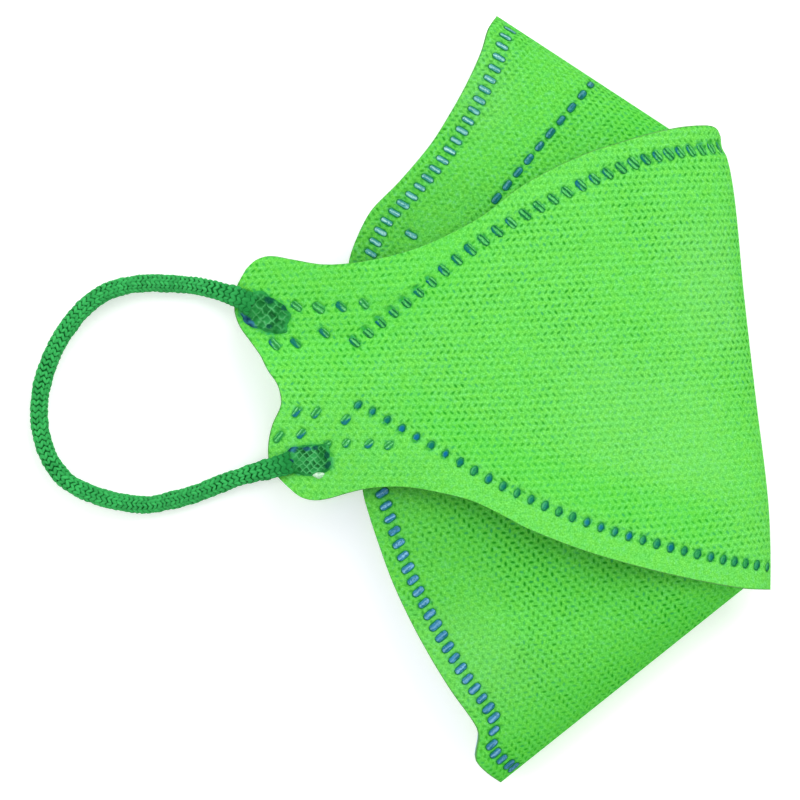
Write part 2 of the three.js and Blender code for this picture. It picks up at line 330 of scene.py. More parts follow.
def through(rows, column=1):
    """A smooth line through one column of a table, against its first, level past the ends."""
    places = np.array([row[0] for row in rows], float)
    values = np.array([row[column] for row in rows], float)
    before = np.maximum(np.arange(len(rows)) - 1, 0)
    after = np.minimum(np.arange(len(rows)) + 1, len(rows) - 1)
    slopes = (values[after] - values[before]) / (places[after] - places[before])

    def line(where):
        where = np.asarray(where, float)
        i = np.clip(np.searchsorted(places, where, side="right") - 1, 0, len(places) - 2)
        span = places[i + 1] - places[i]
        t = np.clip((where - places[i]) / span, 0, 1)
        rise = values[i + 1] - values[i]
        start = slopes[i] * span
        end = slopes[i + 1] * span
        bow = 3 * rise - 2 * start - end
        return values[i] + t * start + t**2 * bow + t**3 * (start + end - 2 * rise)

    return line


def loop_line(which, route):
    """Points of one loop's middle line, a step apart."""
    points = []
    for across, along, climbed in route:
        end_height = nose_end_height[which] if along > 0 else chin_end_height[which]
        height = lying_height[which] + climbed * (end_height - lying_height[which])
        points.append((across, along, height))
    points = np.array(points)
    steps = np.linalg.norm(np.diff(points, axis=0), axis=1)
    run = np.concatenate([[0], np.cumsum(steps)])
    rows = np.column_stack([run, points])
    count = int(run[-1] / line_step)
    where = np.linspace(0, run[-1], count + 1)
    return np.column_stack([through(rows, column)(where) for column in (1, 2, 3)])


def geometry_bench(name, sizes):
    """A Geometry Nodes tree with named inputs, and the wire of its first input."""
    tree = bpy.data.node_groups.new(name, "GeometryNodeTree")
    tree.interface.new_socket("Geometry", in_out="OUTPUT", socket_type="NodeSocketGeometry")
    tree.interface.new_socket("Geometry", in_out="INPUT", socket_type="NodeSocketGeometry")
    for size, kind in sizes.items():
        tree.interface.new_socket(size, in_out="INPUT", socket_type="NodeSocket" + kind)
    bench = Bench(tree)
    return bench, bench.node("NodeGroupInput")


def new_piece(name, mesh):
    piece = bpy.data.objects.new(name, mesh)
    bpy.context.scene.collection.objects.link(piece)
    return piece


def at_points(mesh, name, values, kind="FLOAT"):
    """Stores values, or vectors, at the points of a mesh, for a material or a tree to read."""
    field = "vector" if kind == "FLOAT_VECTOR" else "value"
    layer = mesh.attributes.new(name, kind, "POINT")
    layer.data.foreach_set(field, values.astype(np.float32).ravel())


def made_by_nodes(piece, tree, sizes):
    """Runs a tree on a piece, and leaves the result as the piece's own plain mesh."""
    modifier = piece.modifiers.new("making", "NODES")
    modifier.node_group = tree
    for item in tree.interface.items_tree:
        if item.in_out == "INPUT" and item.name in sizes:
            modifier[item.identifier] = sizes[item.name]
    depsgraph = bpy.context.evaluated_depsgraph_get()
    made = bpy.data.meshes.new_from_object(piece.evaluated_get(depsgraph))
    piece.modifiers.remove(modifier)
    drawn_on = piece.data
    piece.data = made
    made.name = piece.name
    bpy.data.meshes.remove(drawn_on)


def knitting_tree():
    knit, given = geometry_bench("knitted_tube", {
        "Diameter": "Float",
        "Course": "Float",
        "Columns": "Int",
        "Stitch length": "Float",
        "Stitch width": "Float",
        "Stitch height": "Float",
        "Lean": "Float",
        "Yarn": "Material",
    })
    line = knit.node("GeometryNodeMeshToCurve", {}, {"Mesh": given})
    courses = knit.node(
        "GeometryNodeResampleCurve", {"mode": "LENGTH"},
        {"Curve": line, "Length": given.other("Course")},
    )
    tangent = knit.node("GeometryNodeInputTangent")
    courses = knit.stored(courses, "run", tangent, "FLOAT_VECTOR")
    stitch_radius = given.other("Diameter") / 2 - given.other("Stitch height") / 2
    ring = knit.node(
        "GeometryNodeCurvePrimitiveCircle", {"mode": "RADIUS"},
        {"Resolution": given.other("Columns") * 2, "Radius": stitch_radius},
    )
    ring = knit.stored(ring, "leg", knit.node("GeometryNodeInputIndex"))
    unevenness = knit.node(
        "ShaderNodeTexNoise", {},
        {"Vector": knit.node("GeometryNodeInputPosition"), "Scale": 380.0, "Detail": 1.0},
    )
    places = knit.tube(courses, ring, {"Scale": 0.80 + unevenness * 0.34})
    outward = knit.node("GeometryNodeInputNormal")
    along = knit.facing(outward, knit.kept("run", "FLOAT_VECTOR"))
    hand = knit.kept("leg").math("FLOORED_MODULO", 2.0) * 2 - 1
    lean = knit.node(
        "FunctionNodeAxisAngleToRotation", {},
        {"Axis": (0, 0, 1), "Angle": hand * given.other("Lean") + knit.chance(-0.24, 0.24, 3)},
    )
    turned = knit.node(
        "FunctionNodeRotateRotation", {"rotation_space": "LOCAL"},
        {"Rotation": along, "Rotate By": lean},
    )
    bead = knit.node("GeometryNodeMeshUVSphere", {}, {"Segments": 8, "Rings": 5, "Radius": 0.5})
    shape = knit.vector(*(given.other("Stitch " + size) for size in ("length", "width", "height")))
    stitch = knit.node("GeometryNodeTransform", {}, {"Geometry": bead, "Scale": shape})
    size = knit.chance(0.82, 1.18, 5)
    stitches = knit.node(
        "GeometryNodeInstanceOnPoints", {},
        {"Points": places, "Instance": stitch, "Rotation": turned, "Scale": size},
    )
    stitches = knit.stored(stitches, "yarn_tone", knit.chance(0.42, 1.0, 8), domain="INSTANCE")
    core_ring = knit.node(
        "GeometryNodeCurvePrimitiveCircle", {"mode": "RADIUS"},
        {"Resolution": 12, "Radius": stitch_radius - given.other("Stitch height") * 0.3},
    )
    # The core gets the darkest tone, as painted shade down between the stitches.
    core = knit.stored(knit.tube(courses, core_ring, {"Fill Caps": True}), "yarn_tone", 0.0)
    both = knit.node("GeometryNodeJoinGeometry", {}, {"Geometry": [stitches, core]})
    real = knit.node("GeometryNodeRealizeInstances", {}, {"Geometry": both})
    return knit.end(real, given.other("Yarn"))


def yarn_finish():
    """Crimped green polyester yarn over elastic. The core's darkest tone is painted shade down between
    the stitches.
    """
    yarn = Finish("elastic_yarn")
    place = yarn.place()
    tone = yarn.attribute("yarn_tone")
    patches = yarn.noise(place, 260.0, 2.0)
    hairs = yarn.noise(place, 5200.0, 3.0, 0.7)
    stitch = yarn.mixed(tone, (0.005, 0.140, 0.024, 1), (0.044, 0.43, 0.100, 1))
    faded = yarn.mixed(patches * 0.5, stitch, (0.034, 0.42, 0.100, 1))
    shaded = yarn.mixed(yarn.eased(tone, 0.0, 0.5), (0.002, 0.140, 0.022, 1), faded)
    haired = yarn.mixed(yarn.eased(hairs, 0.60, 0.8) * 0.4, shaded, (0.13, 0.58, 0.22, 1))
    return yarn.done({
        "Base Color": haired,
        "Roughness": 0.68 + hairs * 0.2,
        "Specular IOR Level": 0.08,
        "Normal": yarn.bump(hairs, 0.00006),
    })


knitting = knitting_tree()
elastic_yarn = yarn_finish()
nose_pad_end = [(-0.0481, 0.0180, 1.0), (-0.0492, 0.0187, 1.0)]  # the last stitches of each end
chin_pad_end = [(-0.0408, -0.0121, 1.02)]
end_spread = 0.0085  # the tube widens and flattens over this length towards its pressed ends
end_reach = 0.013  # stitches further than this from an end stay as they are
end_points = 24  # along the middle line, for the way in from an end
widened = 0.30
flattened = 0.72
pressed_down = 0.00145
melted_tone = 0.14  # the pressed stitches run together into one dark tone
melted_share = 0.80
for which in ("far", "near"):
    path = loop_line(which, loop_route)
    knitted = loop_line(which, nose_pad_end + loop_route + chin_pad_end)
    line_mesh = bpy.data.meshes.new(which + "_loop_line")
    line_mesh.from_pydata(knitted.tolist(), [(i, i + 1) for i in range(len(knitted) - 1)], [])
    loop = new_piece(which + "_knitted_loop", line_mesh)
    made_by_nodes(loop, knitting, {
        "Diameter": cord_diameter,
        "Course": 0.00112,
        "Columns": 7,
        "Stitch length": 0.00156,
        "Stitch width": 0.00068,
        "Stitch height": 0.00072,
        "Lean": 0.50,
        "Yarn": elastic_yarn,
    })
    loop.data.shade_smooth()
    side = 1 if which == "near" else -1
    points = np.empty(len(loop.data.vertices) * 3)
    loop.data.vertices.foreach_get("co", points)
    points = points.reshape(-1, 3)
    tones = np.empty(len(points))
    loop.data.attributes["yarn_tone"].data.foreach_get("value", tones)
    last = len(knitted) - 1
    for end, further in ((0, end_points), (last, last - end_points)):
        inward = knitted[further] - knitted[end]
        inward[2] = 0
        inward /= np.linalg.norm(inward)
        sideways = np.array([-inward[1], inward[0], 0])
        from_end = points - knitted[end]
        run = from_end @ inward
        near = (np.linalg.norm(from_end, axis=1) < end_reach) & (run < end_spread)
        share = np.clip(1.1 - run[near] / end_spread, 0, 1) ** 1.3
        rise = from_end[near, 2]
        points[near] += np.outer((from_end[near] @ sideways) * share * widened, sideways)
        points[near, 2] -= rise * share * flattened + side * share * pressed_down
        tones[near] += (melted_tone - melted_share * tones[near]) * share
    loop.data.vertices.foreach_set("co", points.ravel())
    loop.data.attributes["yarn_tone"].data.foreach_set("value", tones.astype(np.float32))
    loop.data.update()
    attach(loop, "root")
    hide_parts(which + "_loop")


# The broad centre panel is one sheet of green spunbond cloth over filter layers and a pale blue
# lining, embossed all over with small oval dots. It is folded down the middle of the face.
mm = 0.001
pattern_place = np.array([0.2, -0.3, 0.0])  # of the pattern's origin on the table, in mm
cloth_thickness = 0.9
middle_height = 12.0
fold_line = [  # height, and how far across the fold lies there
    (-40, 50.9), (-27, 50.9), (-17, 50.3), (0, 48.2), (21, 45.8),
    (35, 44.5), (42, 43.6), (46.5, 42.6), (48.6, 41.6), (54, 41.4),
]
nose_seam = [  # how far from the fold, and the seam's height there
    (0, 48.6), (14.8, 46.2), (27.7, 41.6), (40.9, 35.2), (51.6, 28.7), (61.9, 20.9), (75.3, 11.2),
]
chin_seam = [
    (0, -31.7), (9, -30.2), (19, -27.9), (29.6, -24.9),
    (40, -21.1), (50.6, -16.1), (60.9, -9.9), (75.5, -0.8),
]
nose_flange = [  # how far from the fold, and the height of the cut edge there
    (0.0, 50.4), (0.6, 51.7), (1.8, 52.4), (4.0, 52.5), (7.8, 52.1),
    (13.5, 50.9), (20.0, 49.0), (27.2, 46.9), (34.3, 44.0), (41.2, 40.4),
    (48.2, 35.5), (54.9, 31.9), (61.6, 29.1), (68.1, 27.3), (74.6, 26.2),
    (80.2, 26.0), (86.0, 27.0), (89.7, 27.6), (92.5, 26.8), (94.5, 25.1),
]
chin_flange = [
    (0.0, -36.0), (5.2, -35.7), (14.2, -34.1), (24.9, -31.6), (35.5, -28.5),
    (46.0, -24.4), (51.2, -21.6), (56.3, -19.1), (61.7, -17.6), (66.9, -16.6),
    (70.2, -16.3), (73.8, -16.4), (77.1, -16.8), (80.5, -17.6), (84.0, -18.6),
    (86.7, -18.9), (89.2, -18.2), (91.4, -16.3), (92.6, -15.0),
]
tab_end = [  # height, and how far from the fold the tab ends there
    (-15, 92.6), (-12.7, 94.2), (-10.3, 94.4), (-7.4, 93.9), (-4.4, 92.8), (-1.3, 91.0),
    (0.4, 90.6), (3.2, 91.0), (5.9, 92.5), (8.7, 93.6), (11.4, 95.2), (14.1, 96.8),
    (16.9, 97.5), (19.2, 97.2), (21.7, 96.6), (25.1, 94.5),
]
fold_x = through(fold_line)
nose_seam_height = through(nose_seam)
chin_seam_height = through(chin_seam)
nose_flange_height = through(nose_flange)
chin_flange_height = through(chin_flange)
tab_end_from_fold = through(tab_end)


def section_line():
    """One half's section: distance from the fold and rise off the middle plane, finely stepped."""
    t = np.linspace(0, 1, 801)[:, None]

    def bent(a, b, c, d):
        a, b, c, d = (np.array(p, float) for p in (a, b, c, d))
        return (1 - t)**3 * a + 3 * (1 - t)**2 * t * b + 3 * (1 - t) * t**2 * c + t**3 * d

    crown = middle_height
    tab_rise = 4.8
    level_start, level_end = 33, 55
    shoulder = bent((0, 0), (0, 4.8), (12, crown), (level_start, crown))
    level = np.array([level_start, crown]) + t * np.array([level_end - level_start, 0])
    slope = bent((level_end, crown), (75, crown), (84, tab_rise), (104, tab_rise))
    points = np.concatenate([shoulder, level[1:], slope[1:]])
    steps = np.linalg.norm(np.diff(points, axis=0), axis=1)
    run = np.concatenate([[0], np.cumsum(steps)])
    tangents = np.gradient(points, axis=0)
    tangents /= np.linalg.norm(tangents, axis=1)[:, None]
    tangents[0] = (0, 1)
    return run, points, tangents


section_run, section_points, section_tangents = section_line()


def section_at(along, depth):
    """Distance from the fold and rise, at a length along the section and this deep in the cloth."""
    across = np.interp(along, section_run, section_points[:, 0])
    rise = np.interp(along, section_run, section_points[:, 1])
    lean_across = np.interp(along, section_run, section_tangents[:, 0])
    lean_up = np.interp(along, section_run, section_tangents[:, 1])
    return across + lean_up * depth, rise - lean_across * depth


def along_at(from_fold):
    return np.interp(from_fold, section_points[:, 0], section_run)


def eased(value, start, end):
    t = np.clip((value - start) / (end - start), 0, 1)
    return t * t * (3 - 2 * t)


flare_rise = 2.4  # of the flanges beside the tab, past their seams
flare_reach = 6.5
flare_start = 0.9


def centre_point(along, height, depth):
    """A point of the centre panel. along is negative on the far half."""
    from_fold, rise = section_at(np.abs(along), depth)
    outer_rise = section_at(np.abs(along), 0)[1]
    past_nose = height - nose_seam_height(from_fold)
    past_chin = chin_seam_height(from_fold) - height
    past = np.maximum(np.maximum(past_nose, past_chin), 0)
    past = past**2 / (past + flare_start)
    flare = flare_rise * eased(from_fold, 42, 66) * (1 - np.exp(-past / flare_reach))
    lift = np.minimum(flare, middle_height - outer_rise)
    side = np.where(along < 0, -1, 1)
    return np.stack([
        fold_x(height) - from_fold, height + 0 * along, middle_height + side * (rise + lift),
    ], axis=-1)


nose_corner_along = along_at(nose_flange[-1][0])
chin_corner_along = along_at(chin_flange[-1][0])


def pattern_point(share, climb):
    """The flat pattern between its four edges, as length along the section and height."""
    nose_along = nose_corner_along * share
    chin_along = chin_corner_along * share
    nose_edge = nose_flange_height(section_at(nose_along, 0)[0])
    chin_edge = chin_flange_height(section_at(chin_along, 0)[0])
    end_height = chin_flange[-1][1] + climb * (nose_flange[-1][1] - chin_flange[-1][1])
    end_along = along_at(tab_end_from_fold(end_height))
    corner_along = chin_corner_along + climb * (nose_corner_along - chin_corner_along)
    along = chin_along + climb * (nose_along - chin_along) + share * (end_along - corner_along)
    height = chin_edge + climb * (nose_edge - chin_edge)
    return along, height


def turned(x, y, heading):
    """Lengths along and across a heading in degrees."""
    turn = math.radians(heading)
    return x * math.cos(turn) + y * math.sin(turn), y * math.cos(turn) - x * math.sin(turn)


def closer_at_ends(count, crowding):
    """Shares from 0 to 1 in this many steps, which crowd together at both ends."""
    share = np.linspace(0, 1, count + 1)
    return share - crowding * np.sin(2 * np.pi * share) / (2 * np.pi)


def both_halves(shares):
    """The shares, with their match on the other side of 0 before them."""
    return np.concatenate([-shares[:0:-1], shares])


def outward_of(grid):
    """Unit normals of a grid of points, by its rows and columns."""
    normals = np.cross(np.gradient(grid, axis=1), np.gradient(grid, axis=0))
    return normals / np.maximum(np.linalg.norm(normals, axis=-1), 1e-12)[..., None]


hollow_depth = 0.30
hollow_reach = 4.0  # from the middle of a mark, further than its rim
hollow_wall = 0.42  # how far the hollow's wall slopes out
same_face = 2.0  # cloth that is further off a mark than this belongs to the other half


def pressed(grid, marks):
    """The outer face with a hollow pressed into it at every weld mark, and how far it is pressed."""
    outward = outward_of(grid)
    depth = np.zeros(grid.shape[:2])
    for mark in marks:
        near = np.linalg.norm(grid - mark["place"], axis=-1) < hollow_reach
        away = grid[near] - mark["place"]
        sideways = np.cross(mark["up"], mark["lie"])
        straight = (mark["length"] - mark["width"]) / 2
        past_straight = np.maximum(np.abs(away @ mark["lie"]) - straight, 0)
        outside = np.hypot(past_straight, away @ sideways) - mark["width"] / 2
        hollow = hollow_depth * (1 - eased(outside, -0.02, hollow_wall))
        on_face = np.abs(away @ mark["up"]) < same_face
        depth[near] = np.maximum(depth[near], hollow * on_face)
    facing = np.sign((outward[grid.shape[0] // 2, -2] * [0, 0, 1]).sum())
    return grid - outward * facing * depth[..., None], depth / hollow_depth


def grid_of(corner):
    """The cells of a grid of point numbers, and its edge as one ring."""
    cells = np.stack([
        corner[:-1, :-1], corner[:-1, 1:], corner[1:, 1:], corner[1:, :-1],
    ], axis=-1).reshape(-1, 4)
    edge = np.concatenate([corner[0, :-1], corner[:-1, -1], corner[-1, :0:-1], corner[:0:-1, 0]])
    return cells, edge


inner_step = 3  # the inner face has every third row and column of the outer one


def cloth_piece(node, outer, inner, laid_flat, cloth, extras):
    """A closed sheet: a fine outer face, a coarser inner face, and a rim between their edges."""
    name = node + "_cloth"
    rows, columns = outer.shape[:2]
    inner = inner[::inner_step, ::inner_step]
    outer_count = rows * columns
    inner_count = inner.shape[0] * inner.shape[1]
    outer_cells, outer_edge = grid_of(np.arange(outer_count).reshape(rows, columns))
    inner_cells, inner_edge = grid_of(np.arange(inner_count).reshape(inner.shape[:2]) + outer_count)
    inner_cells = inner_cells[:, ::-1]
    rim_cells = []
    for i in range(len(inner_edge)):
        steps = range(inner_step, -1, -1)
        near = [outer_edge[(inner_step * i + k) % len(outer_edge)] for k in steps]
        rim_cells.append(near + [inner_edge[i], inner_edge[(i + 1) % len(inner_edge)]])
    points = np.concatenate([outer.reshape(-1, 3), inner.reshape(-1, 3)])
    points = (points + pattern_place) * mm
    corners = points[outer_cells]
    crossed = np.cross(corners[:, 2] - corners[:, 0], corners[:, 3] - corners[:, 1])
    facing = ((outer - inner_of(outer, inner)).reshape(-1, 3)[outer_cells[:, 0]] * crossed).sum()
    faces = outer_cells.tolist() + inner_cells.tolist() + rim_cells
    if facing < 0:
        faces = [face[::-1] for face in faces]
    mesh = bpy.data.meshes.new(name)
    mesh.from_pydata(points.tolist(), [], faces)
    for finish in (cloth, lining_cloth, cut_edge):
        mesh.materials.append(finish)
    kinds = [0] * len(outer_cells) + [1] * len(inner_cells) + [2] * len(rim_cells)
    mesh.polygons.foreach_set("material_index", kinds)
    mesh.polygons.foreach_set("use_smooth", [kind < 2 for kind in kinds])
    inner_flat = laid_flat[::inner_step, ::inner_step]
    flat = np.concatenate([laid_flat.reshape(-1, 2), inner_flat.reshape(-1, 2)])
    corner_of = np.empty(len(mesh.loops), int)
    mesh.loops.foreach_get("vertex_index", corner_of)
    mesh.uv_layers.new(name="cloth").data.foreach_set("uv", (flat * mm)[corner_of].ravel())
    # A thin dark line along the border of the outer face: partly the sealed cut edge, partly painted
    # shade where the cloth turns away there.
    sealed = np.zeros((rows, columns))
    sealed[[0, -1], :] = 1
    sealed[:, [0, -1]] = 1
    for extra, values in {**extras, "sealed": sealed}.items():
        inner_values = values[::inner_step, ::inner_step]
        at_points(mesh, extra, np.concatenate([values.ravel(), inner_values.ravel()]))
    mesh.update()
    sheet = new_piece(name, mesh)
    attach(sheet, "root")
    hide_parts(node)
    return sheet


def inner_of(outer, inner):
    """The inner face's nearest stored point for each outer point."""
    rows, columns = outer.shape[:2]
    row = np.minimum(np.arange(rows) // inner_step, inner.shape[0] - 1)
    column = np.minimum(np.arange(columns) // inner_step, inner.shape[1] - 1)
    return inner[row][:, column]


def embossed_cloth(name, pitch, spacing, stagger, leans, shade, speckle):
    """Spunbond polypropylene with rows of leaning oval dots, fine fibres and a faint blue cast."""
    dot_half_length, dot_half_width = 0.44, 0.22
    uneven_across, uneven_up, uneven_lean = 0.16, 0.14, 0.4
    cloth = Finish(name)
    flat = cloth.node("ShaderNodeUVMap", {"uv_map": "cloth"})
    across = cloth.parts(flat)
    row = across.other("Y") / (spacing * mm)
    line = row.math("FLOOR")
    odd = line.math("FLOORED_MODULO", 2.0)
    place = across / (pitch * mm) + line * stagger
    cell = place.math("FLOOR")
    chance = cloth.node(
        "ShaderNodeTexWhiteNoise", {"noise_dimensions": "3D"},
        {"Vector": cloth.vector(cell, line, 0.5)}, output="Color",
    )
    chances = cloth.parts(chance)
    off_across = (place - cell - 0.5) * pitch + (chances - 0.5) * uneven_across
    off_up = (row - line - 0.5) * spacing + (chances.other("Y") - 0.5) * uneven_up
    even_lean, odd_lean = (math.radians(lean) for lean in leans)
    lean = odd * (odd_lean - even_lean) + even_lean + (chances.other("Z") - 0.5) * uneven_lean
    lean_across = lean.math("COSINE")
    lean_up = lean.math("SINE")
    long_way = off_across * lean_across + off_up * lean_up
    short_way = off_up * lean_across - off_across * lean_up
    reach = (long_way / dot_half_length) ** 2 + (short_way / dot_half_width) ** 2

    place_on = cloth.place()
    mottle = cloth.noise(place_on, 60.0, 3.0, 0.55)
    wear = cloth.noise(place_on, 70.0, 3.0, 0.5)
    fibres = cloth.noise(place_on, 3600.0, 2.0, 0.6)
    flecks = cloth.noise(place_on, 1500.0, 2.0, 0.6)
    tints = cloth.noise(place_on, 750.0, 2.0, 0.5)
    crisp = cloth.attribute("crisp")
    strength = (0.55 + chances.other("Z") * 0.45) * (0.60 + cloth.eased(wear, 0.38, 0.60) * 0.40)
    core = (1 - cloth.eased(reach, 0.2, 1.5)) * strength * crisp
    gathered = (1 - cloth.eased(reach, 0.5, 4.2)) * strength * crisp

    # shade darkens a whole panel's cloth as painted shade, for panels that lie in less light, and drains
    # its red and blue faster, as shade does on green cloth.
    def tone(red, green, blue):
        return (red * shade**2.1, green * shade, blue * shade**2.4, 1)

    base = cloth.mixed(mottle, tone(0.122, 0.585, 0.070), tone(0.145, 0.625, 0.084))
    tinted = cloth.mixed(
        cloth.eased(tints, 0.42, 0.66) * 0.35, base, tone(0.105, 0.585, 0.125),
    )
    warmed = cloth.mixed(
        (1 - cloth.eased(tints, 0.36, 0.48)) * 0.25, tinted, tone(0.160, 0.610, 0.048),
    )
    light = cloth.mixed(cloth.eased(fibres, 0.50, 0.72) * 0.8, warmed, tone(0.210, 0.80, 0.145))
    dark = cloth.mixed((1 - cloth.eased(fibres, 0.30, 0.48)) * 0.7, light, tone(0.050, 0.39, 0.026))
    flecked = cloth.mixed(cloth.eased(flecks, 0.55, 0.70) * speckle, dark, tone(0.190, 0.65, 0.250))
    dusted = cloth.mixed(
        (1 - cloth.eased(flecks, 0.34, 0.46)) * speckle, flecked, tone(0.060, 0.43, 0.040),
    )
    between_rows = cloth.eased(abs(off_up), 0.05, spacing * 0.45)
    drawn = cloth.mixed(
        gathered * 0.26 + (1 - between_rows) * crisp * 0.14, dusted, tone(0.046, 0.410, 0.034),
    )
    pit = cloth.mixed(
        cloth.eased(chances.other("Y"), 0.72, 0.86),
        tone(0.013, 0.260, 0.012), tone(0.040, 0.350, 0.100),
    )
    dotted = cloth.mixed(core * 0.95, drawn, pit)
    pressed = cloth.attribute("pressed") ** 1.7
    seeped = cloth.mixed(
        cloth.eased(tints, 0.50, 0.62), (0.012, 0.270, 0.034, 1), (0.008, 0.240, 0.120, 1),
    )
    marked = cloth.mixed(pressed * 0.72, dotted, seeped)
    # The cloth's points carry painted light and shade: a pale painted sheen, a greener painted shade
    # tint where the value is below 0, and painted shade that scales the whole colour down, or up where
    # it is below 0.
    paler = cloth.attribute("paler")
    with_painted_sheen = cloth.mixed(paler * 0.07, marked, tone(0.42, 0.62, 0.40))
    with_painted_shade_tint = cloth.mixed(paler * -0.20, with_painted_sheen, tone(0.02, 0.57, 0.01))
    with_painted_shade = cloth.node(
        "ShaderNodeVectorMath", {"operation": "SCALE"},
        {"Vector": with_painted_shade_tint, "Scale": 1 - cloth.attribute("deeper")}, output="Vector",
    )
    # The dark line along the border is partly the sealed cut edge and partly painted shade.
    edged = cloth.mixed(cloth.attribute("sealed") ** 2.0 * 0.8, with_painted_shade, (0.075, 0.130, 0.055, 1))
    height = fibres * 0.35 + flecks * 0.25 - gathered * 0.5 - core * 0.6
    return cloth.done({
        "Base Color": edged,
        "Roughness": 0.72 + fibres * 0.2 - core * 0.1,
        "Specular IOR Level": 0.03,
        "Normal": cloth.bump(height, 0.00017, 0.6),
    })


def lining_finish():
    """The soft pale blue cloth next to the face."""
    lining = Finish("pale_blue_lining")
    place = lining.place()
    fibres = lining.noise(place, 1600.0, 4.0, 0.7)
    patches = lining.noise(place, 120.0, 2.0)
    shade = lining.mixed(patches, (0.34, 0.56, 0.72, 1), (0.42, 0.64, 0.78, 1))
    fibred = lining.mixed(lining.eased(fibres, 0.4, 0.75) * 0.5, shade, (0.62, 0.78, 0.88, 1))
    return lining.done({
        "Base Color": fibred,
        "Roughness": 0.75 + fibres * 0.15,
        "Specular IOR Level": 0.2,
        "Normal": lining.bump(fibres, 0.00012, 0.4),
    })


def cut_finish():
    """The cut edge, where the plies are sealed together: its dull dark colour is partly the sealed edge
    and partly painted shade.
    """
    cut = Finish("sealed_cut_edge")
    place = cut.place()
    fibres = cut.noise(place, 2400.0, 3.0, 0.7)
    patches = cut.noise(place, 300.0, 2.0)
    dull_and_shaded = cut.mixed(patches, (0.050, 0.26, 0.035, 1), (0.085, 0.31, 0.075, 1))
    frayed = cut.mixed(cut.eased(fibres, 0.5, 0.8) * 0.5, dull_and_shaded, (0.11, 0.42, 0.20, 1))
    return cut.done({
        "Base Color": frayed,
        "Roughness": 0.55 + fibres * 0.3,
        "Specular IOR Level": 0.2,
        "Normal": cut.bump(fibres, 0.00010, 0.6),
    })


lining_cloth = lining_finish()
cut_edge = cut_finish()


def weld_mark(at, x, y, lean, length, width, side):
    """A weld mark at a place seen from above, turned by its lean in degrees. at finds the cloth."""
    turn = math.radians(lean)
    step = 0.4
    place = at(x, y)
    lie = at(x + step * math.cos(turn), y + step * math.sin(turn)) - place
    sideways = at(x - step * math.sin(turn), y + step * math.cos(turn)) - place
    up = np.cross(lie, sideways) * side
    return {
        "place": place,
        "lie": lie / np.linalg.norm(lie),
        "up": up / np.linalg.norm(up),
        "length": length,
        "width": width,
    }


def mark_on_centre(x, y, lean, length, width, side):
    def at(x, y):
        along = along_at(fold_x(y) - x)
        return centre_point(side * along, y, 0.0)

    return weld_mark(at, x, y, lean, length, width, side)


def on_both_sides(marker, rows):
    return [marker(*row, side) for side in (1, -1) for row in rows]


def seam_rows(count, mark_at, seam_height, lean, length, width):
    """The marks of a seam, from its fold to its tab: place, lean and size."""
    rows = []
    for i in range(count):
        from_fold = float(mark_at(i))
        height = float(seam_height(from_fold))
        across = float(fold_x(height)) - from_fold
        rows.append((across, height, float(lean(i)), length, width))
    return rows


nose_seam_marks = on_both_sides(mark_on_centre, seam_rows(
    count=30,
    mark_at=through([(0, 0.4), (1, 2.0), (4, 8.6), (9, 20.9), (19, 48.8), (29, 75.3)]),
    seam_height=nose_seam_height,
    lean=through([(0, -62), (5, -48), (12, -42), (29, -41)]),
    length=2.7,
    width=1.5,
))
chin_seam_marks = on_both_sides(mark_on_centre, seam_rows(
    count=31,
    mark_at=through([(0, 0.5), (1, 2.6), (5, 11.5), (15, 37.6), (25, 63.2), (30, 76.1)]),
    seam_height=chin_seam_height,
    lean=through([(0, 74), (15, 70), (24, 60), (30, 52)]),
    length=1.95,
    width=1.45,
))
tab_rows = [  # across, height, lean, length and width
    (-39.5, 18.0, -38, 2.4, 1.4), (-35.3, 17.7, -38, 2.6, 1.7), (-31.0, 17.9, -38, 2.4, 1.5),
    (-26.6, 18.4, -46, 2.3, 1.5), (-34.2, 12.9, -40, 2.6, 1.5), (-43.7, 10.8, -46, 2.6, 1.4),
    (-39.7, 11.0, -40, 2.5, 1.3), (-39.5, -2.1, 55, 2.4, 1.4), (-35.8, -2.2, 55, 2.4, 1.4),
    (-30.1, -3.5, 50, 2.2, 1.5), (-42.9, -6.8, 52, 2.7, 1.4), (-38.6, -6.2, 50, 2.2, 1.3),
    (-33.6, -8.2, 35, 1.6, 1.4), (-30.0, -8.0, 50, 1.9, 1.4), (-25.7, -8.1, 45, 2.0, 1.4),
    (-21.9, -8.4, 40, 2.0, 1.4),
]
tab_marks = on_both_sides(mark_on_centre, tab_rows)


def off_spot(x, y, middle, reach):
    """How far from the middle of a soft oval patch each point is. It is 1 on the oval."""
    return np.hypot((x - middle[0]) / reach[0], (y - middle[1]) / reach[1])


def on_spot(x, y, middle, reach, start, end):
    """1 inside a soft oval patch and 0 outside it, smooth between two distances of off_spot."""
    return 1 - eased(off_spot(x, y, middle, reach), start, end)


centre_shares = both_halves(closer_at_ends(count=207, crowding=0.30))
centre_climbs = closer_at_ends(count=186, crowding=0.42)
share_grid, climb_grid = np.meshgrid(centre_shares, centre_climbs)
centre_along, centre_height = pattern_point(np.abs(share_grid), climb_grid)
centre_along = np.sign(share_grid) * centre_along
centre_outer = centre_point(centre_along, centre_height, 0.0)
centre_from_fold = section_at(np.abs(centre_along), 0.0)[0]
past_chin_seam = chin_seam_height(centre_from_fold) - centre_height
past_nose_seam = centre_height - nose_seam_height(centre_from_fold)
on_tab = eased(centre_from_fold, 56, 70)
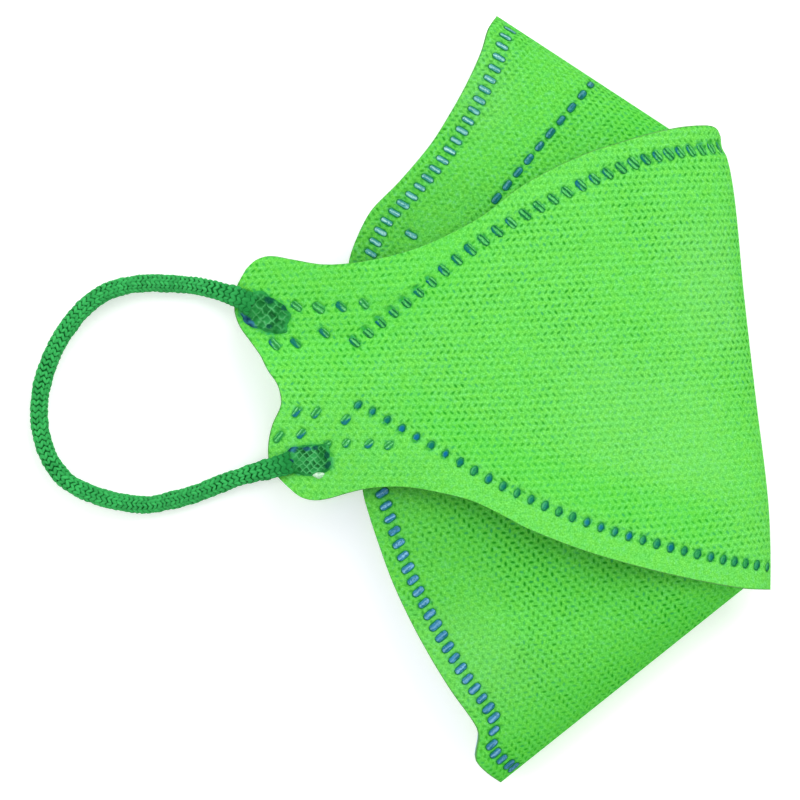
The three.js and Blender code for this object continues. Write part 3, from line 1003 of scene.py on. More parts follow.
# crisp is how clear the embossing is. It fades on the flanges and where the cloth is rubbed.
centre_crisp = 1 - (0.85 - 0.45 * on_tab) * eased(past_chin_seam, -0.5, 2.0)
centre_crisp -= (0.35 - 0.30 * on_tab) * eased(past_nose_seam, 0, 3.0)
off_rubbed = off_spot(centre_from_fold, centre_height, middle=(15, -11), reach=(20, 11))
centre_crisp *= 0.55 + 0.45 * eased(off_rubbed, 0.4, 1.3)
centre_outer, centre_pressed = pressed(
    centre_outer, nose_seam_marks + chin_seam_marks + tab_marks,
)
centre_inner = centre_point(centre_along, centre_height, cloth_thickness)
across_table = centre_outer[..., 0]
pads_on_tab = {  # where the loops' ends are pressed: middle, length, width, and heading in degrees
    "nose": (-45.5, 16.7, 9.8, 6.6, -27),
    "chin": (-37.2, -11.2, 9.0, 5.8, 4),
}
pad_roundness = 2.8
for pad_x, pad_y, pad_length, pad_width, heading in pads_on_tab.values():
    off_long, off_wide = turned(across_table - pad_x, centre_height - pad_y, heading)
    off_pad = np.abs(off_long / (pad_length / 2)) ** pad_roundness
    off_pad += np.abs(off_wide / (pad_width / 2)) ** pad_roundness
    off_pad = off_pad ** (1 / pad_roundness)
    centre_pressed = np.maximum(centre_pressed, 0.9 * (1 - eased(off_pad, 0.95, 1.3)))
# Painted light and shade on the cloth, held in two values at its points: a pale painted sheen on the
# panel's lower part near the fold and beside the fold higher up, a greener painted shade above the chin
# seam and under the nose seam, painted shade along the fold, the cloth darker on the chin flange, and
# painted light on the tab.
painted_sheen_patch = (1 - eased(centre_from_fold, 26, 46)) * eased(-past_chin_seam, 9, 17)
painted_sheen_patch *= eased(centre_from_fold, 3, 11) * (1 - eased(-past_chin_seam, 28, 42))
painted_shade_band = eased(-past_chin_seam, 0.5, 4.0) * (1 - eased(-past_chin_seam, 7, 13))
painted_shade_band *= eased(centre_from_fold, 5, 14) * (1 - eased(centre_from_fold, 60, 74))
beside_fold = (1 - eased(centre_from_fold, 8, 20)) * eased(centre_height, 4, 16)
beside_fold *= eased(centre_from_fold, 0.5, 3.0) * (1 - eased(centre_height, 28, 40))
under_nose_seam = (1 - eased(-past_nose_seam, 2, 9)) * eased(centre_from_fold, 40, 56)
centre_painted_light = 0.65 * painted_sheen_patch + 0.8 * beside_fold - 0.8 * painted_shade_band - 0.6 * under_nose_seam
# Painted light on the tab, painted shade along the fold, and the cloth darker on the chin flange.
off_tab = off_spot(centre_from_fold, centre_height, middle=(86, 9), reach=(22, 10))
centre_painted_shade = 0.06 * eased(off_tab, 0.4, 1.2) - 0.06
centre_painted_shade += 0.04 * (1 - eased(centre_from_fold, 0.5, 3.0))
centre_painted_shade += (0.03 + 0.03 * on_tab) * eased(past_chin_seam, -0.5, 2.0)
# The embossed rows climb towards the fold, and more steeply further up.
row_rise = 0.044 + 0.0005 * across_table + (0.0008 - 0.000024 * across_table) * centre_height
emboss_row = centre_height - across_table * row_rise
rolled_over = np.minimum(np.abs(centre_along) - centre_from_fold, 3.0)
crowded = 0.21 * np.maximum(centre_height - 10, 0) * (1 - np.exp(-centre_from_fold / 40))
emboss_column = np.sign(centre_along) * (centre_from_fold + rolled_over + crowded)
centre_flat = np.stack([emboss_column, emboss_row], axis=-1)
centre_cloth = embossed_cloth(
    "centre_cloth", pitch=1.32, spacing=1.30, stagger=0.5, leans=(45, -50), shade=1.0, speckle=0.30,
)
centre_sheet = cloth_piece(
    "centre_panel", centre_outer, centre_inner, centre_flat, centre_cloth,
    {
        "crisp": centre_crisp, "pressed": centre_pressed,
        "deeper": centre_painted_shade, "paler": centre_painted_light,
    },
)


# The nose panel is one piece of the same cloth, folded in half along a ridge and welded under the
# centre panel's upper seam. Its free edge is welded too, and so is the pocket of the nose wire,
# which runs across it.
hidden_depth = 1.5  # how far the tucked edges lie under the centre panel's outer face


def outer_panel(tip, seam, past_seam, drawn_in, free_edge, reach_end, sunk, columns, rows):
    """One outer panel: its outer face as a grid, and the lengths and directions it is drawn by."""
    seam_height = through(seam)
    edge_back = through(free_edge)
    outward = np.sign(tip[1])
    shares = both_halves(closer_at_ends(columns, 0.35))
    side = np.sign(shares)
    from_fold, rise = section_at(np.abs(shares) * along_at(reach_end), hidden_depth)
    inset = from_fold + drawn_in * np.exp(-from_fold / 6)
    height = seam_height(inset) + outward * past_seam
    seam_points = np.stack([fold_x(height) - inset, height, side * rise], axis=-1)
    tip_point = np.array([tip[0], tip[1], 0.0])
    base = seam_points[len(shares) // 2] * [1, 1, 0]
    ridge = (tip_point - base) / np.linalg.norm(tip_point - base)
    across = np.array([-outward * ridge[1], outward * ridge[0], 0.0])
    tangent = np.gradient(seam_points, axis=0)
    inward = np.outer(tangent[:, 2], across)
    inward[:, 2] = -(tangent @ across)
    inward /= np.linalg.norm(inward, axis=1)[:, None]
    from_tip = seam_points - tip_point
    from_ridge = from_tip @ across
    start = from_tip @ ridge
    length = -edge_back(from_ridge) - start
    out = closer_at_ends(rows, 0.3)[:, None, None]
    outer = seam_points + out * length[None, :, None] * ridge + [0, 0, middle_height]
    outer[..., 2] -= side * sunk(outer[..., 0], outer[..., 1])
    steps = np.hypot(np.diff(from_ridge), np.diff(seam_points[:, 2]))
    girth = np.concatenate([[0], np.cumsum(steps)])
    girth -= girth[len(shares) // 2]
    return {
        "tip": tip_point,
        "ridge": ridge,
        "across": across,
        "from_ridge": from_ridge,
        "level": seam_points[:, 2] + middle_height,
        "sunk": sunk,
        "outer": outer,
        "inward": inward[None],
        "girth": np.broadcast_to(girth, outer.shape[:2]),
        "forward": start + out[..., 0] * length,
    }


def turned_rows(panel, ridge_angle, row_angle):
    """Lengths along and across the embossed rows, which lean to the ridge."""
    turn = math.radians(row_angle - ridge_angle)
    across_turn = turn - np.sign(panel["tip"][1]) * math.pi / 2
    along_row = panel["girth"] * math.cos(across_turn) + panel["forward"] * math.cos(turn)
    over_rows = -panel["girth"] * math.sin(across_turn) - panel["forward"] * math.sin(turn)
    return np.stack([along_row, over_rows], axis=-1)


def marks_on_panel(panel, rows):
    """Weld marks at lengths from the ridge and back from its tip, on both halves."""
    middle_column = len(panel["from_ridge"]) // 2
    marks = []
    for side in (1, -1):
        columns = slice(middle_column, None) if side > 0 else slice(middle_column, None, -1)
        along = panel["from_ridge"][columns]
        levels = panel["level"][columns]

        def at(x, y):
            away = (np.array([x, y, 0.0]) - panel["tip"]) @ panel["across"]
            return np.array([x, y, np.interp(away, along, levels) - side * panel["sunk"](x, y)])

        for away, back, lean, length, width in rows:
            x, y, _ = panel["tip"] - panel["ridge"] * back + panel["across"] * away
            marks.append(weld_mark(at, x, y, lean, length, width, side))
    return marks


nose_free_edge = [  # how far from the ridge, and how far back the edge is cut there
    (0, 0.6), (2.7, 0.6), (7.4, 1.9), (14.8, 3.0), (22.7, 3.5), (28, 3.5),
    (36.9, 2.4), (43.2, 1.1), (46, 1.0), (51, 1.7), (54.8, 2.8), (68, 9.5),
]


def nose_sunk(x, y):
    """How far the nose panel lies below the line of the section, next to the centre panel's edge."""
    from_fold = fold_x(y) - x
    past_flange = y - nose_flange_height(from_fold)
    return 0.6 * eased(past_flange, -5, 0.5) * (1 - eased(past_flange, 1, 8)) * eased(from_fold, 4, 24)


nose_panel = outer_panel(
    tip=(-1.8, 73.8), seam=nose_seam, past_seam=0.0, drawn_in=3.5, free_edge=nose_free_edge,
    reach_end=75.3, sunk=nose_sunk, columns=174, rows=105,
)
nose_edge_back = through(nose_free_edge)
nose_edge_inset = 3.65
nose_edge_pitch = 2.23
nose_edge_mark = (-30, 2.65, 1.2)  # lean, length and width
nose_edge_away = [0.8, 2.4, 4.3] + [4.3 + nose_edge_pitch * i for i in range(1, 22)]
nose_edge_rows = []
for away in nose_edge_away:
    nose_edge_rows.append((away, float(nose_edge_back(away)) + nose_edge_inset, *nose_edge_mark))
nose_edge_rows.append((44.0, 9.9, *nose_edge_mark))
pocket_back = 22.9
pocket_slant = 0.11
pocket_pitch = 3.2
pocket_mark = (51, 2.4, 1.35)  # lean, length and width
pocket_away = [1.1] + [3.7 + pocket_pitch * i for i in range(9)]
pocket_rows = []
for away in pocket_away:
    pocket_rows.append((away, pocket_back - pocket_slant * away, *pocket_mark))
nose_edge_marks = marks_on_panel(nose_panel, nose_edge_rows)
pocket_marks = marks_on_panel(nose_panel, pocket_rows)
nose_outer, nose_pressed = pressed(nose_panel["outer"], nose_edge_marks + pocket_marks)
nose_inner = nose_panel["outer"] + nose_panel["inward"] * cloth_thickness
behind_tip = -nose_panel["forward"]
past_pocket = behind_tip + pocket_slant * np.abs(nose_panel["girth"]) - pocket_back
nose_crisp = 1 - 0.45 * (1 - eased(past_pocket, -3.0, 1.0)) * eased(behind_tip, 6.0, 12.0)
# Painted shade towards the tab end and in a patch, a pale painted sheen in a patch near the tip, and a
# greener painted shade along the ridge back from the pocket.
nose_painted_shade = 0.21 * eased(np.abs(nose_panel["girth"]), 40, 64)
nose_x, nose_y = nose_panel["outer"][..., 0], nose_panel["outer"][..., 1]
nose_painted_shade += 0.09 * on_spot(nose_x, nose_y, (-12, 36), (14, 10), 0.4, 1.2)
nose_painted_light = on_spot(nose_x, nose_y, (-5, 60), (9, 12), 0.3, 1.2)
nose_painted_light -= 0.8 * eased(behind_tip, 22, 34) * (1 - eased(np.abs(nose_panel["girth"]), 3, 18))
nose_cloth = embossed_cloth(
    "nose_cloth", pitch=1.15, spacing=1.20, stagger=-0.284, leans=(-50, 73), shade=0.92, speckle=0.50,
)
nose_sheet = cloth_piece(
    "nose_panel", nose_outer, nose_inner,
    turned_rows(nose_panel, ridge_angle=146.77, row_angle=46.8), nose_cloth,
    {
        "crisp": nose_crisp, "pressed": nose_pressed,
        "deeper": nose_painted_shade, "paler": nose_painted_light,
    },
)


# The chin panel is cut from the same cloth, folded in half along its own ridge and welded under the
# centre panel's lower seam. It sags in a shallow trough beside that seam's flange.
chin_free_edge = [  # how far from the ridge, and how far back the edge is cut there
    (0, 0.2), (3.3, -0.7), (6.2, -0.8), (7.9, 0.7), (9.5, 2.5), (11.7, 3.3), (20, 3.8),
    (28, 4.8), (35.6, 6.2), (42.9, 8.0), (49.8, 10.3), (56.5, 12.8), (59.8, 14.3), (76, 24),
]


def chin_sunk(x, y):
    """How far the chin panel dips below the line of the section, in a trough beside the flange."""
    from_fold = fold_x(y) - x
    past_flange = chin_flange_height(from_fold) - y
    under_edge = 3.2 * eased(past_flange, -6, 0.5)
    trough = 1.1 * eased(past_flange, -1, 9)
    back_up = 1 - eased(past_flange, 3, 23)
    from_ridge = ((y + 72.9) * 1.2 - 0.7 - x) * 0.64
    to_ends = eased(from_ridge, 3, 20) * (1 - eased(from_fold, 84, 96))
    return (under_edge + trough) * back_up * to_ends * (1 - 0.6 * eased(from_fold, 50, 82))


chin_panel = outer_panel(
    tip=(-0.7, -72.9), seam=chin_seam, past_seam=1.4, drawn_in=0.0, free_edge=chin_free_edge,
    reach_end=75.5, sunk=chin_sunk, columns=174, rows=126,
)
chin_edge_back = through(chin_free_edge)
chin_edge_inset = 3.9
chin_edge_count = 27
chin_edge_at = through([(0, 0.6), (1, 1.6), (2, 3.3), (5, 8.6), (8, 14.9), (26, 57.3)])
chin_edge_lean = through([(0, 40), (9, 42), (17, 40), (26, 32)])
chin_edge_rows = []
for i in range(chin_edge_count):
    away = float(chin_edge_at(i))
    back = float(chin_edge_back(away)) + chin_edge_inset
    chin_edge_rows.append((away, back, float(chin_edge_lean(i)), 2.75, 1.5))
chin_edge_marks = marks_on_panel(chin_panel, chin_edge_rows)
chin_outer, chin_pressed = pressed(chin_panel["outer"], chin_edge_marks)
chin_inner = chin_panel["outer"] + chin_panel["inward"] * cloth_thickness
chin_crisp = 1.0 - 0.45 * eased(np.abs(chin_panel["girth"]), 30, 62)
chin_x, chin_y = chin_panel["outer"][..., 0], chin_panel["outer"][..., 1]
chin_from_fold = fold_x(chin_y) - chin_x
past_chin_flange = chin_flange_height(chin_from_fold) - chin_y
# Painted shade beside the flange and towards the tab end.
beside_flange = (1 - eased(past_chin_flange, 2, 22)) * eased(chin_from_fold, 10, 34)
chin_painted_shade = 0.10 * eased(np.abs(chin_panel["girth"]), 42, 64) + 0.10 * beside_flange
# In the trough beside the flange the dots are drawn darker and the cloth greener, as painted shade.
in_trough = (1 - eased(past_chin_flange, 4, 17)) * eased(chin_from_fold, 8, 30)
in_trough *= 1 - eased(chin_from_fold, 56, 74)
chin_crisp += 0.6 * in_trough
# A patch of painted shade, a patch where the dots fade, a patch of pale painted sheen, and a greener
# painted shade along the ridge.
chin_painted_shade += 0.09 * on_spot(chin_x, chin_y, (-11, -34), (16, 11), 0.4, 1.2)
chin_crisp -= 0.45 * on_spot(chin_x, chin_y, (-6, -44), (11, 15), 0.3, 1.2)
chin_painted_light = on_spot(chin_x, chin_y, (-10, -50), (17, 12), 0.4, 1.2)
chin_painted_light -= 1.1 * (1 - eased(np.abs(chin_panel["girth"]), 2, 16)) + 0.5 * in_trough
chin_cloth = embossed_cloth(
    "chin_cloth", pitch=1.28, spacing=1.27, stagger=0.545, leans=(45, -45), shade=0.92, speckle=0.35,
)
chin_sheet = cloth_piece(
    "chin_panel", chin_outer, chin_inner,
    turned_rows(chin_panel, ridge_angle=-141.39, row_angle=-46.5), chin_cloth,
    {
        "crisp": chin_crisp, "pressed": chin_pressed,
        "deeper": chin_painted_shade, "paler": chin_painted_light,
    },
)


# The plies are welded together by hot dies that leave rows of small round-ended marks. In each, the
# cloth is melted to a thin hard film, and the blue of the inner plies shows through it.
def weld_mark_tree():
    press, given = geometry_bench("pressed_marks", {
        "Length": "Float",
        "Width": "Float",
        "Film": "Float",
        "Crown": "Float",
        "Melted film": "Material",
    })
    block = press.node(
        "GeometryNodeMeshCube", {},
        {"Size": (2, 2, 1), "Vertices X": 7, "Vertices Y": 6, "Vertices Z": 2},
    )
    place = press.node("GeometryNodeInputPosition")
    u = press.parts(place)
    v = u.other("Y")
    top = u.other("Z").math("GREATER_THAN", 0.0)
    block = press.stored(press.stored(block, "weld_along", u), "weld_across", v)
    drawn_in = given.other("Width") * (1 - (1 - v * v).math("SQRT"))
    crown = given.other("Crown") * (1 - v * v) * (1 - u ** 4)
    shaped = press.vector(
        u * (given.other("Length") - drawn_in) / 2,
        v * given.other("Width") / 2,
        top * (given.other("Film") + crown) - given.other("Film"),
    )
    mark = press.node("GeometryNodeSetPosition", {}, {"Geometry": block, "Position": shaped})
    up, lie, size = (press.kept(name, "FLOAT_VECTOR") for name in ("up", "lie", "size"))
    marks = press.node(
        "GeometryNodeInstanceOnPoints", {},
        {"Points": given, "Instance": mark, "Rotation": press.facing(up, lie), "Scale": size},
    )
    real = press.node("GeometryNodeRealizeInstances", {}, {"Geometry": marks})
    smooth = press.node("GeometryNodeSetShadeSmooth", {}, {"Geometry": real, "Shade Smooth": True})
    return press.end(smooth, given.other("Melted film"))


def film_wires(name, mark):
    """A film finish with its wires: where a point lies on its mark, and how far from the rim."""
    length, width = mark["length"], mark["width"]
    film = Finish(name)
    along = film.attribute("weld_along")
    across = film.attribute("weld_across")
    own = film.attribute("weld_own")
    drawn_out = film.vector(along * (length * 0.4), across * (width * 1.1), own * 50)
    on_film = film.vector(along * (length * 2), across * (width * 2), own * 90)
    flow = film.noise(drawn_out, 1.0, 2.0, 0.6)
    grain = film.noise(on_film, 1.0, 2.0, 0.6)
    to_end = (1 - abs(along)) * (length / 2)
    to_side = (1 - abs(across)) * (width / 2)
    room = to_side.math("MINIMUM", to_end)
    return film, along, across, own, flow, grain, room


def clear_film(name, mark, deep, fill, highlight_streak, highlight_at):
    """Film melted through to the blue plies, with broken streaks of painted highlight, and a dark soft
    rim that is partly the film's edge and partly painted shade.
    """
    film, _, across, own, flow, grain, room = film_wires(name, mark)
    tinted = film.mixed(film.eased(flow + grain * 0.5, 0.62, 0.90), deep, fill)
    # Broken streaks of painted highlight run along the mark.
    off_highlight = abs(across - highlight_at + (flow - 0.5) * 1.3)
    highlight_mask = (1 - film.eased(off_highlight, 0.02, 0.45)) * film.eased(grain + own * 0.2, 0.34, 0.66)
    lit = film.mixed(highlight_mask * film.attribute("weld_pale"), tinted, highlight_streak)
    # The dark rim is partly the film's edge and partly painted shade of the hollow's wall.
    inside = film.eased(room + (flow - 0.5) * 0.2, 0.04, 0.30)
    edged = film.mixed(inside, (0.006, 0.170, 0.035, 1), lit)
    return film.done({
        "Base Color": edged,
        "Roughness": 0.30 + grain * 0.3,
        "Specular IOR Level": 0.05,
        "Normal": film.bump(flow * 0.6 + grain * 0.4, 0.00010, 0.6),
    })


def ribbed_film(name, mark, fill, other_fill, pale, depth, soft):
    """Mostly green film in ribs: painted highlight on rib tops, painted shade in grooves and rim (as
    dark as depth), blue at a corner.
    """
    film, along, across, own, flow, grain, room = film_wires(name, mark)
    body = film.mixed(film.eased(grain, 0.35, 0.65), (0.022, 0.290, 0.055, 1), (0.075, 0.47, 0.090, 1))
    line = across + (flow - 0.5) * 0.8 + own * 0.5
    wave = (line * 6.0).math("COSINE")
    # Pale painted highlight on the rib tops, and painted shade down in the grooves.
    rib_highlight = film.eased(wave, 0.50, 1.0) * film.eased(grain, 0.30, 0.55)
    with_rib_highlight = film.mixed(rib_highlight * film.attribute("weld_pale"), body, pale)
    groove_depth_and_shade = (1 - film.eased(wave, -0.95, -0.10)) * (0.4 + grain * 1.1) * depth
    with_groove_shade = film.mixed(groove_depth_and_shade, with_rib_highlight, (0.001, 0.082, 0.033, 1))
    corner = across * 0.7 + along * 0.5 + (grain - 0.5) * 0.9
    filled = 1 - film.eased(corner - film.attribute("weld_blue") * 1.7, -1.25, -0.75)
    stain = film.mixed(film.eased(own + grain * 0.6, 0.55, 1.05), fill, other_fill)
    coloured = film.mixed(filled * 0.9, with_groove_shade, stain)
    # A dark rim, partly the film's edge and partly painted shade.
    on_rim = (1 - film.eased(room + (flow - 0.5) * 0.15, 0.06, 0.24)) * (0.3 + grain * 0.9) * depth
    rimmed = film.mixed(on_rim, coloured, (0.004, 0.125, 0.036, 1))
    inside = film.eased(room + (flow - 0.5) * 0.30, -0.06, soft)
    edged = film.mixed(inside, (0.045, 0.420, 0.045, 1), rimmed)
    return film.done({
        "Base Color": edged,
        "Roughness": 0.42 + grain * 0.3,
        "Specular IOR Level": 0.03,
        "Normal": film.bump(flow * 0.3 - groove_depth_and_shade, 0.00012, 0.6),
    })


def spot_film(name, mark, core, other_core, pale):
    """Film in a round spot: a blue middle in a dark rim, or painted shade on one side and painted
    highlight on the other.
    """
    film, along, across, own, flow, grain, _ = film_wires(name, mark)
    off_middle = (along * along + across * across).math("SQRT")
    body = film.mixed(film.eased(grain, 0.35, 0.65), (0.008, 0.180, 0.045, 1), (0.036, 0.350, 0.075, 1))
    side = across + (flow - 0.5) * 0.6
    # Painted highlight on one side and painted shade on the other.
    painted_lit_side = film.eased(side, 0.05, 0.45) * (1 - film.eased(side, 0.62, 0.92))
    with_lit_side = film.mixed(painted_lit_side * film.attribute("weld_pale"), body, pale)
    painted_shaded_side = (1 - film.eased(side, -0.65, -0.05)) * (0.7 + grain * 0.5)
    with_shaded_side = film.mixed(painted_shaded_side, with_lit_side, (0.001, 0.085, 0.040, 1))
    blue = film.attribute("weld_blue")
    risen = (1 - film.eased(off_middle + (grain - 0.5) * 0.7, 0.30, 0.95)) * blue.math("MINIMUM", 1.0)
    blue_ply = film.mixed(film.eased(own + grain * 0.5, 0.45, 1.0), core, other_core)
    cored = film.mixed(risen, with_shaded_side, blue_ply)
    # A dark rim, partly the film's edge and partly painted shade.
    on_rim = film.eased(off_middle + (flow - 0.5) * 0.5, 0.58, 0.92)
    rimmed = film.mixed(on_rim * 0.85, cored, (0.005, 0.145, 0.055, 1))
    inside = 1 - film.eased(off_middle + (flow - 0.5) * 0.4, 0.90, 1.25)
    edged = film.mixed(inside, (0.050, 0.430, 0.048, 1), rimmed)
    return film.done({
        "Base Color": edged,
        "Roughness": 0.42 + grain * 0.3,
        "Specular IOR Level": 0.03,
        "Normal": film.bump(risen - painted_shaded_side * 0.5 + grain * 0.2, 0.00012, 0.6),
    })


weld_mark_maker = weld_mark_tree()
film_depth = 0.16  # of the pressed film under the face of the cloth


def weld_marks(name, marks, finish, blue, pale, crown, seed):
    """One row of weld marks and its match on the other half. blue, and the strength of the painted
    highlight, are each a mean and a spread.
    """
    chance = np.random.default_rng(seed)
    half = len(marks) // 2
    places = [(mark["place"] - mark["up"] * film_depth + pattern_place) * mm for mark in marks]
    mesh = bpy.data.meshes.new(name)
    mesh.from_pydata([tuple(place) for place in places], [], [])
    sizes = chance.uniform(0.92, 1.08, half)
    blues = np.clip(chance.normal(blue[0], blue[1], half), 0, 1)
    highlights = np.clip(chance.normal(pale[0], pale[1], half), 0, 1)
    owns = chance.uniform(0, 1, half)
    own_length = np.array([mark["length"] for mark in marks]) / marks[0]["length"]
    own_width = np.array([mark["width"] for mark in marks]) / marks[0]["width"]
    scale = np.tile(sizes, 2)
    for way in ("up", "lie"):
        at_points(mesh, way, np.array([mark[way] for mark in marks]), "FLOAT_VECTOR")
    grown = np.stack([own_length * scale, own_width * scale, scale], 1)
    at_points(mesh, "size", grown, "FLOAT_VECTOR")
    for extra, values in (("weld_blue", blues), ("weld_pale", highlights), ("weld_own", owns)):
        at_points(mesh, extra, np.tile(values, 2))
    row = new_piece(name, mesh)
    made_by_nodes(row, weld_mark_maker, {
        "Length": marks[0]["length"] * mm,
        "Width": marks[0]["width"] * mm,
        "Film": 0.25 * mm,
        "Crown": crown * mm,
        "Melted film": finish,
    })
    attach(row, "root")


teal = (0.003, 0.150, 0.125, 1)
strong_blue = (0.003, 0.115, 0.200, 1)
nose_seam_film = ribbed_film(
    "nose_seam_film", nose_seam_marks[0],
    fill=teal, other_fill=strong_blue, pale=(0.15, 0.56, 0.19, 1), depth=0.9, soft=0.14,
)
chin_seam_film = spot_film(
    "chin_seam_film", chin_seam_marks[0],
    core=(0.003, 0.125, 0.290, 1), other_core=teal, pale=(0.075, 0.42, 0.13, 1),
)
tab_film = ribbed_film(
    "tab_film", tab_marks[0],
    fill=teal, other_fill=strong_blue, pale=(0.19, 0.58, 0.26, 1), depth=0.60, soft=0.20,
)
nose_edge_film = clear_film(
    "nose_edge_film", nose_edge_marks[0],
    deep=(0.020, 0.200, 0.190, 1), fill=(0.080, 0.340, 0.320, 1),
    highlight_streak=(0.36, 0.68, 0.62, 1), highlight_at=0.0,
)
pocket_film = clear_film(
    "wire_pocket_film", pocket_marks[0],
    deep=(0.003, 0.100, 0.100, 1), fill=(0.012, 0.170, 0.200, 1),
    highlight_streak=(0.12, 0.36, 0.42, 1), highlight_at=0.30,
)
chin_edge_film = clear_film(
    "chin_edge_film", chin_edge_marks[0],
    deep=(0.010, 0.120, 0.190, 1), fill=(0.044, 0.215, 0.390, 1),
    highlight_streak=(0.19, 0.42, 0.62, 1), highlight_at=-0.05,
)
weld_marks(
    "nose_seam_welds", nose_seam_marks, nose_seam_film,
    blue=(0.25, 0.22), pale=(0.85, 0.20), crown=-0.05, seed=11,
)
weld_marks(
    "chin_seam_welds", chin_seam_marks, chin_seam_film,
    blue=(0.42, 0.45), pale=(0.80, 0.25), crown=-0.05, seed=12,
)
weld_marks(
    "tab_welds", tab_marks, tab_film, blue=(0.22, 0.25), pale=(0.90, 0.2), crown=-0.05, seed=13,
)
weld_marks(
    "nose_edge_welds", nose_edge_marks, nose_edge_film,
    blue=(0, 0), pale=(0.8, 0.2), crown=0.05, seed=14,
)
weld_marks(
    "wire_pocket_welds", pocket_marks, pocket_film,
    blue=(0, 0), pale=(0.8, 0.25), crown=0.05, seed=15,
)
weld_marks(
    "chin_edge_welds", chin_edge_marks, chin_edge_film,
    blue=(0, 0), pale=(0.75, 0.25), crown=0.05, seed=16,
)


# Each end of a loop is pressed flat on its tab by a die with a diamond net, so that the knitting
# melts into a thin dark green pad, and a little blue from the plies underneath comes up beside it.
def pad_finish():
    pad = Finish("pressed_knitting")
    place = pad.place()
    grain = pad.noise(place, 2600.0, 3.0, 0.65)
    patches = pad.noise(place, 500.0, 2.0, 0.5)
    pit = pad.attribute("pit")
    net = pad.attribute("net")
    stain = pad.attribute("stain")
    blueness = pad.attribute("blueness")
    melted = pad.mixed(pad.eased(patches, 0.35, 0.65), (0.008, 0.175, 0.028, 1), (0.030, 0.32, 0.072, 1))
    broken = pad.eased(patches + grain * 0.4, 0.48, 0.88)
    netted = pad.mixed(net * (0.15 + broken * 0.7), melted, (0.105, 0.42, 0.160, 1))
    pitted = pad.mixed(pit * 0.8, netted, (0.001, 0.045, 0.010, 1))
    blue = pad.mixed(pad.eased(patches, 0.40, 0.66), (0.002, 0.030, 0.080, 1), (0.030, 0.17, 0.30, 1))
    deep = pad.mixed(blueness, (0.002, 0.075, 0.040, 1), blue)
    stained = pad.mixed(stain * 0.95, pitted, deep)
    grained = pad.mixed(pad.eased(grain, 0.58, 0.8) * 0.4, stained, (0.13, 0.48, 0.22, 1))
    return pad.done({
        "Base Color": grained,
        "Roughness": 0.36 + grain * 0.3,
        "Specular IOR Level": 0.05,
        "Normal": pad.bump(grain, 0.00008),
    })


pressed_knitting = pad_finish()


def rough(x, y, seed):
    """A smooth uneven value from -1 to 1."""
    a = np.sin(x * 1.7 + seed) * np.cos(y * 2.3 - seed * 1.3)
    b = np.sin(x * 3.9 - y * 2.1 + seed * 2.1) * 0.6
    c = np.cos(x * 6.3 + y * 5.1 - seed) * 0.4
    return (a + b + c) / 2


def pad_outline(way, seed):
    """The pad's uneven outline, as a factor by direction: a rounded oblong with small lobes."""
    oblong = np.abs(np.cos(way)) ** pad_roundness + np.abs(np.sin(way)) ** pad_roundness
    oblong = oblong ** (-1 / pad_roundness)
    lobes = 0.045 * np.sin(3 * way + seed) + 0.04 * np.sin(5 * way + 2 * seed)
    nicks = 0.03 * np.sin(8 * way - seed) + 0.02 * np.sin(14 * way + 3 * seed)
    return oblong * (1 + lobes + nicks)


def diamond_net(px, py, cell, seed):
    """How deep in a pit and how far up on the net each point is, from an uneven diamond net."""
    diagonal = 0.7071
    cells = 64
    chance = np.random.default_rng(int(seed * 10))
    depths = chance.uniform(0.15, 1.0, (cells, cells))
    first = (px + py) * diagonal / cell + 0.22 * rough(px * 0.9, py * 0.9, seed + 3)
    second = (px - py) * diagonal / cell + 0.22 * rough(px * 0.8, py, seed + 9)
    off_first = np.abs(2 * (first - np.floor(first)) - 1)
    off_second = np.abs(2 * (second - np.floor(second)) - 1)
    inside = (1 - eased(off_first, 0.35, 0.9)) * (1 - eased(off_second, 0.35, 0.9))
    depth = depths[np.floor(first).astype(int) % cells, np.floor(second).astype(int) % cells]
    on_net = np.maximum(eased(off_first, 0.74, 0.98), eased(off_second, 0.74, 0.98))
    return inside * depth, on_net


pad_rows, pad_columns = 79, 103


